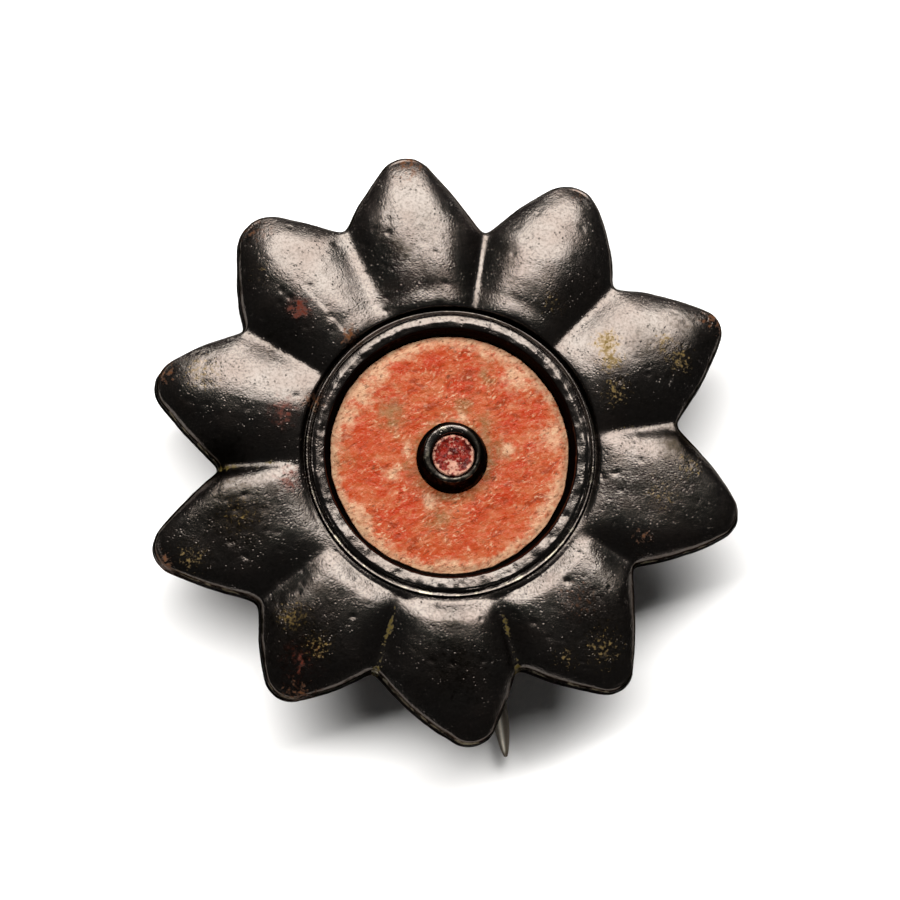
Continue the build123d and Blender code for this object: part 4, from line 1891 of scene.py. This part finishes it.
@dataclass
class EnamelDisc(Part):
    """Ring of enamel round the collar: slightly uneven, low and broken at its rim, in millimetres.

    It grows pale and dull at its rim between the two radii of each, and it is dull round the collar.
    """

    slot = Slot.ENAMEL
    node = "enamel_disc"
    seat: Seat = Seat()
    shrinkage: float = 0.1
    sink: float = 0.06
    raggedness: Grain = Grain(81, 1.6, 0.08, 4)
    waves: Grain = Grain(82, 3.0, 0.05, 4)
    streaks: Grain = Grain(85, 0.7, 0.02, 2)
    rim_fall: float = 0.22
    rim_breaks: Grain = Grain(83, 1.2, 0.5)
    dip: float = 0.06
    dip_radius: float = 3.9
    dip_width: float = 0.5
    pits: Pits = Pits(count=160, reach=10.0, radius=(0.12, 0.35), depth=(0.01, 0.05), seed=84)
    pale_rim: tuple[float, float] = (8.4, 10.1)
    pale_waver: Grain = Grain(86, 2.6, 0.5)
    dull_rim: tuple[float, float] = (9.6, 10.2)
    dull_collar: float = 3.2
    dull_collar_width: float = 0.8
    pale_strength: float = 0.75
    dull_rim_strength: float = 0.4
    dull_collar_strength: float = 0.55
    wall_height: float = 2.9
    around: int = 480
    rows: int = 96

    def upper_face(self) -> tuple[np.ndarray, np.ndarray, np.ndarray]:
        """Work out the uneven upper surface.

        Returns:
            The surface as rows by points by 3, and the outlines of its hole and of its rim.
        """
        seat = self.seat
        angle = np.linspace(0, TURN, self.around, endpoint=False)
        spoke = np.column_stack([np.cos(angle), np.sin(angle)])
        hole = np.array(seat.collar) + (seat.collar_foot + seat.gap) * spoke
        ragged = self.raggedness.at(9 * spoke[:, 0], 9 * spoke[:, 1])
        edge = spoke * (seat.enamel_radius - self.shrinkage + ragged)[:, None]
        share = np.linspace(0, 1, self.rows)[:, None, None]
        flat = hole[None] * (1 - share) + edge[None] * share
        x, y = flat[..., 0], flat[..., 1]
        inside = np.hypot(x - seat.collar[0], y - seat.collar[1])
        height = seat.enamel_top - self.sink + self.waves.at(x, y) + self.streaks.at(x, y * 2.2)
        fall = smooth_step(np.hypot(x, y), seat.enamel_radius - 0.75, seat.enamel_radius + 0.05)
        height -= self.rim_fall * fall * (1 + self.rim_breaks.at(x, y))
        height -= self.dip * hump(inside, self.dip_radius, self.dip_width)
        height -= self.pits.at(x, y)
        return np.stack([x, y, height], axis=-1), hole, edge

    def marks(self, top: np.ndarray) -> dict[Mark, np.ndarray]:
        """Where the upper surface is red, pale and dull, pale at its rim and dull round the collar.

        Args:
            top: The upper surface.

        Returns:
            One array of rows by points for each mark.
        """
        x, y = top[..., 0], top[..., 1]
        reach = np.hypot(x, y)
        inside = np.hypot(x - self.seat.collar[0], y - self.seat.collar[1])
        marks = {mark: blotted(ENAMEL_BLOTS, mark, top) for mark in (Mark.RED, Mark.PALE, Mark.DIRT)}
        rim = smooth_step(reach + self.pale_waver.at(x, y), *self.pale_rim)
        marks[Mark.PALE] = np.maximum(marks[Mark.PALE], self.pale_strength * rim)
        marks[Mark.RED] = marks[Mark.RED] * (1 - rim)
        dull = np.maximum(
            self.dull_rim_strength * smooth_step(reach, *self.dull_rim),
            self.dull_collar_strength * hump(inside, self.dull_collar, self.dull_collar_width),
        )
        marks[Mark.DIRT] = np.maximum(marks[Mark.DIRT], dull)
        return marks

    def build(self) -> bpy.types.Object:
        """Build the disc as one closed mesh with its marks.

        Returns:
            The piece.
        """
        top, hole, edge = self.upper_face()
        heights = (self.wall_height, self.seat.enamel_floor)
        wall = [np.column_stack([edge, np.full(self.around, height)]) for height in heights]
        bore = [np.column_stack([hole, np.full(self.around, height)]) for height in heights[::-1]]
        rings = np.concatenate([top, np.array(wall), np.array(bore)])
        marks = {}
        for mark, value in self.marks(top).items():
            marks[mark] = np.zeros(rings.shape[:2])
            marks[mark][: self.rows] = value
        return Skin("enamel_field", rings, marks=marks).build()


@dataclass
class Collar(Part):
    """Tapered post with a shallow cup in its top, slightly leaning, in millimetres.

    The cup's edge is a list of radii and of depths under the top, from the rim inwards.
    """

    slot = Slot.PATINA
    node = "collar"
    seat: Seat = Seat()
    rim_radius: float = 2.55
    top: float = 5.5
    swell: float = 0.10
    taper_power: float = 0.85
    lip_rounding: float = 0.26
    cup_edge: tuple[tuple[float, float], ...] = (
        (2.06, 0.01), (1.97, 0.06), (1.91, 0.16), (1.87, 0.3), (1.85, 0.6)
    )
    lean: float = 0.12
    roundness: Grain = Grain(91, 1.6, 0.016, 3)
    rim_unevenness: Grain = Grain(92, 1.2, 0.04, 2)
    light_waver: Grain = Grain(93, 0.7, 0.5)
    rim_patches: Grain = Grain(94, 0.5, 0.5)
    rim_cover: float = 0.4
    rim_gilt: float = 0.6
    foot_dirt: float = 0.6
    side_soot: float = 0.7
    # Painted shade on the rim where the light doesn't fall
    rim_shade: float = 0.72
    around: int = 160

    def profile(self) -> list[tuple[float, float]]:
        """Section of the collar, from under its foot to the cup's floor.

        Returns:
            Radius and height of each ring.
        """
        seat, lip = self.seat, self.lip_rounding
        rise = self.top - lip - seat.enamel_top
        foot = seat.collar_foot
        found = [(1.5, seat.enamel_floor), (foot, seat.enamel_floor), (foot, seat.enamel_top - 0.4)]
        for share in np.linspace(0, 1, 16):
            radius = foot + (self.rim_radius - foot) * share**self.taper_power
            radius += self.swell * math.sin(math.pi * share)
            found.append((radius, seat.enamel_top + rise * share))
        for turn in np.radians(range(15, 91, 15)):
            inset, depth = lip * (1 - math.cos(turn)), lip * (1 - math.sin(turn))
            found.append((self.rim_radius - inset, self.top - depth))
        found += [(radius, self.top - depth) for radius, depth in self.cup_edge]
        return found + [(seat.cup_radius, seat.cup_floor), (0.9, seat.cup_floor)]

    def marks(self, x: np.ndarray, y: np.ndarray, height: np.ndarray) -> dict[Mark, np.ndarray]:
        """Bare metal on the rim, dirt at the foot, soot on the side, and painted shade on the rim but for
        the stretches where the light falls.

        Args:
            x: First coordinate of each point from the collar's axis.
            y: Second coordinate of each point from the collar's axis.
            height: Height of each point.

        Returns:
            One array of rings by points for each mark.
        """
        reach = np.hypot(x, y)
        side = 1 - smooth_step(height, self.top - 0.32, self.top - 0.12)
        # Painted shade: the rim is darkened but on its upper left and lower inner stretches, where light
        # falls
        lit = smooth_step(0.9 * y - 0.4 * x + self.light_waver.at(x, y), 1.3, 2.2)
        lit = np.maximum(lit, smooth_step(-y, 0.7, 1.5) * (reach < 2.05))
        wear_and_highlight = (1 - side) * smooth_step(reach, 1.95, 2.1) * self.rim_patches.patches(x, y, self.rim_cover)
        return {
            Mark.GILT_AND_HIGHLIGHT: self.rim_gilt * wear_and_highlight,
            Mark.DIRT: self.foot_dirt * hump(height, self.seat.enamel_top, 0.35),
            Mark.SOOT_AND_SHADE: np.maximum(self.side_soot * side, self.rim_shade * (1 - lit)),
        }

    def build(self) -> bpy.types.Object:
        """Build the collar as one closed mesh, slightly out of round.

        Returns:
            The piece.
        """
        seat = self.seat
        rings = turned_rings(self.profile(), self.around)
        x, y, height = rings[..., 0], rings[..., 1], rings[..., 2]
        above = smooth_step(height, seat.enamel_top - 0.1, seat.enamel_top + 0.5)
        swell = 1 + above * self.roundness.at(x + height, y - height)
        height = height + above * self.rim_unevenness.at(x, y)
        leaning = self.lean * above * smooth_step(np.hypot(x, y), 1.95, 2.3)
        across = x * swell + seat.collar[0] - leaning
        along = y * swell + seat.collar[1] + leaning
        points = np.stack([across, along, height], axis=-1)
        ends = ((*seat.collar, seat.enamel_floor), (*seat.collar, seat.cup_floor))
        return Skin("collar_post", points, *ends, self.marks(x, y, height), flipped=True).build()


@dataclass
class CollarInlay(Part):
    """Small crusty disc of enamel in the collar's cup, in millimetres."""

    slot = Slot.INLAY
    node = "collar_inlay"
    seat: Seat = Seat()
    top: float = 5.1
    sink: float = 0.08
    rim_rise: float = 0.10
    rim_fall: float = 0.12
    crust: Grain = Grain(95, 0.45, 0.09, 3)
    crumb_patches: Grain = Grain(96, 0.5, 0.25)
    around: int = 120
    rows: int = 40

    def build(self) -> bpy.types.Object:
        """Build the inlay as one closed mesh, with its crumbs marked.

        Returns:
            The piece.
        """
        radius, floor = self.seat.cup_radius - self.seat.gap, self.seat.cup_floor + self.seat.gap
        reach = np.concatenate([[0.02], np.linspace(0.05, radius, self.rows)])
        top = turned_rings([(r, self.top) for r in reach[::-1]], self.around)
        x, y = top[..., 0], top[..., 1]
        out = np.hypot(x, y) / radius
        top[..., 2] += self.crust.at(x, y) + self.rim_rise * smooth_step(out, 0.55, 0.95) - self.sink
        top[..., 2] -= self.rim_fall * smooth_step(out, 0.94, 1.0)
        under = turned_rings([(0.5, floor), (radius, floor), (radius, self.top - 0.25)], self.around)
        rings = np.concatenate([under, top]) + np.array([*self.seat.collar, 0.0])
        crumbs = 0.24 + 0.6 * np.exp(-(x**2 + (y + 1.0) ** 2) / 0.3)
        crumbs += (0.4 + self.crumb_patches.at(x, y)) * smooth_step(out, 0.76, 0.95)
        marks = {Mark.PALE: np.concatenate([np.zeros(under.shape[:2]), crumbs])}
        ends = ((*self.seat.collar, floor), (*self.seat.collar, float(top[-1, :, 2].mean())))
        return Skin("collar_crust", rings, *ends, marks, flipped=True).build()


# Studio


@dataclass(frozen=True)
class Softbox:
    """Rectangular area light that looks at the brooch, in millimetres and watts.

    Shine says whether it is mirrored in glossy surfaces, and fill whether it lights dull ones.
    """

    name: str
    place: tuple[float, float, float]
    size: tuple[float, float]
    power: float
    shine: bool
    fill: bool
    colour: tuple[float, float, float] = (1.0, 0.965, 0.93)

    def hang(self) -> None:
        """Add the light to the scene."""
        light = bpy.data.lights.new(self.name, "AREA")
        light.shape = "RECTANGLE"
        light.size, light.size_y = (side * MM for side in self.size)
        light.energy, light.color = self.power, self.colour
        lamp = bpy.data.objects.new(self.name, light)
        lamp.location = Vector(self.place) * MM
        lamp.rotation_euler = (-lamp.location).to_track_quat("-Z", "Y").to_euler()
        lamp.visible_camera = False
        lamp.visible_glossy = self.shine
        lamp.visible_diffuse = self.fill
        bpy.context.scene.collection.objects.link(lamp)


@dataclass
class Studio:
    """Pale floor, two softboxes beyond the top of the brooch and a long lens nearly above it."""

    floor_height: float = -6.9
    floor_size: float = 3000.0
    camera_way: tuple[float, float, float] = (-0.06, -0.148, 0.987)
    camera_distance: float = 500.0
    view_breadth: float = 77.4
    view_middle: tuple[float, float, float] = (0.22, 0.89, 0.0)
    ambient: float = 0.035
    lights: tuple[Softbox, ...] = (
        Softbox("shine", (35.0, 500.0, 635.0), (720.0, 600.0), 8.5, True, False),
        Softbox("fill", (-110.0, 330.0, 690.0), (1600.0, 320.0), 22.5, False, True, (1.0, 0.985, 0.965)),
    )

    def floor(self, paper: bpy.types.Material) -> None:
        """Lay the floor.

        Args:
            paper: Its material.
        """
        half = self.floor_size / 2
        corners = [(-half, -half), (half, -half), (half, half), (-half, half)]
        piece = add_piece("floor", np.array([(x, y, self.floor_height) for x, y in corners]), [(0, 1, 2, 3)])
        piece.data.materials.append(paper)

    def surround(self) -> None:
        """Set a dim even surround."""
        world = bpy.data.worlds.new("studio")
        world.use_nodes = True
        background = world.node_tree.nodes["Background"]
        background.inputs["Color"].default_value = (1, 1, 1, 1)
        background.inputs["Strength"].default_value = self.ambient
        bpy.context.scene.world = world

    def camera(self) -> None:
        """Set the long lens over the brooch."""
        lens = bpy.data.cameras.new("camera")
        lens.lens = lens.sensor_width * self.camera_distance / self.view_breadth
        lens.clip_start, lens.clip_end = 0.01, 10.0
        camera = bpy.data.objects.new("camera", lens)
        way = Vector(self.camera_way).normalized()
        right = Vector((0, 1, 0)).cross(way).normalized()
        camera.location = (Vector(self.view_middle) + way * self.camera_distance) * MM
        camera.rotation_euler = Matrix((right, way.cross(right), way)).transposed().to_euler()
        bpy.context.scene.collection.objects.link(camera)
        bpy.context.scene.camera = camera
        bpy.context.scene.view_settings.view_transform = "Standard"

    def build(self) -> None:
        """Make the floor, the surround, the lights and the camera."""
        self.floor(FloorPaper().material())
        self.surround()
        for light in self.lights:
            light.hang()
        self.camera()


def main() -> None:
    """Build and dress each piece, then set up the studio."""
    logging.basicConfig(level=logging.INFO, format="%(name)s %(message)s")
    effects = Effects.build()
    patina = BronzePatina().material(effects)
    for part in (Plate(), Holder(), Catch()):
        part.make(patina)
    EnamelDisc().make(WornEnamel().material(effects))
    Collar().make(patina)
    CollarInlay().make(CrustyInlay().material(effects))
    Pin().make(WornBronze().material(effects))
    Studio().build()


if __name__ == "__main__":
    main()
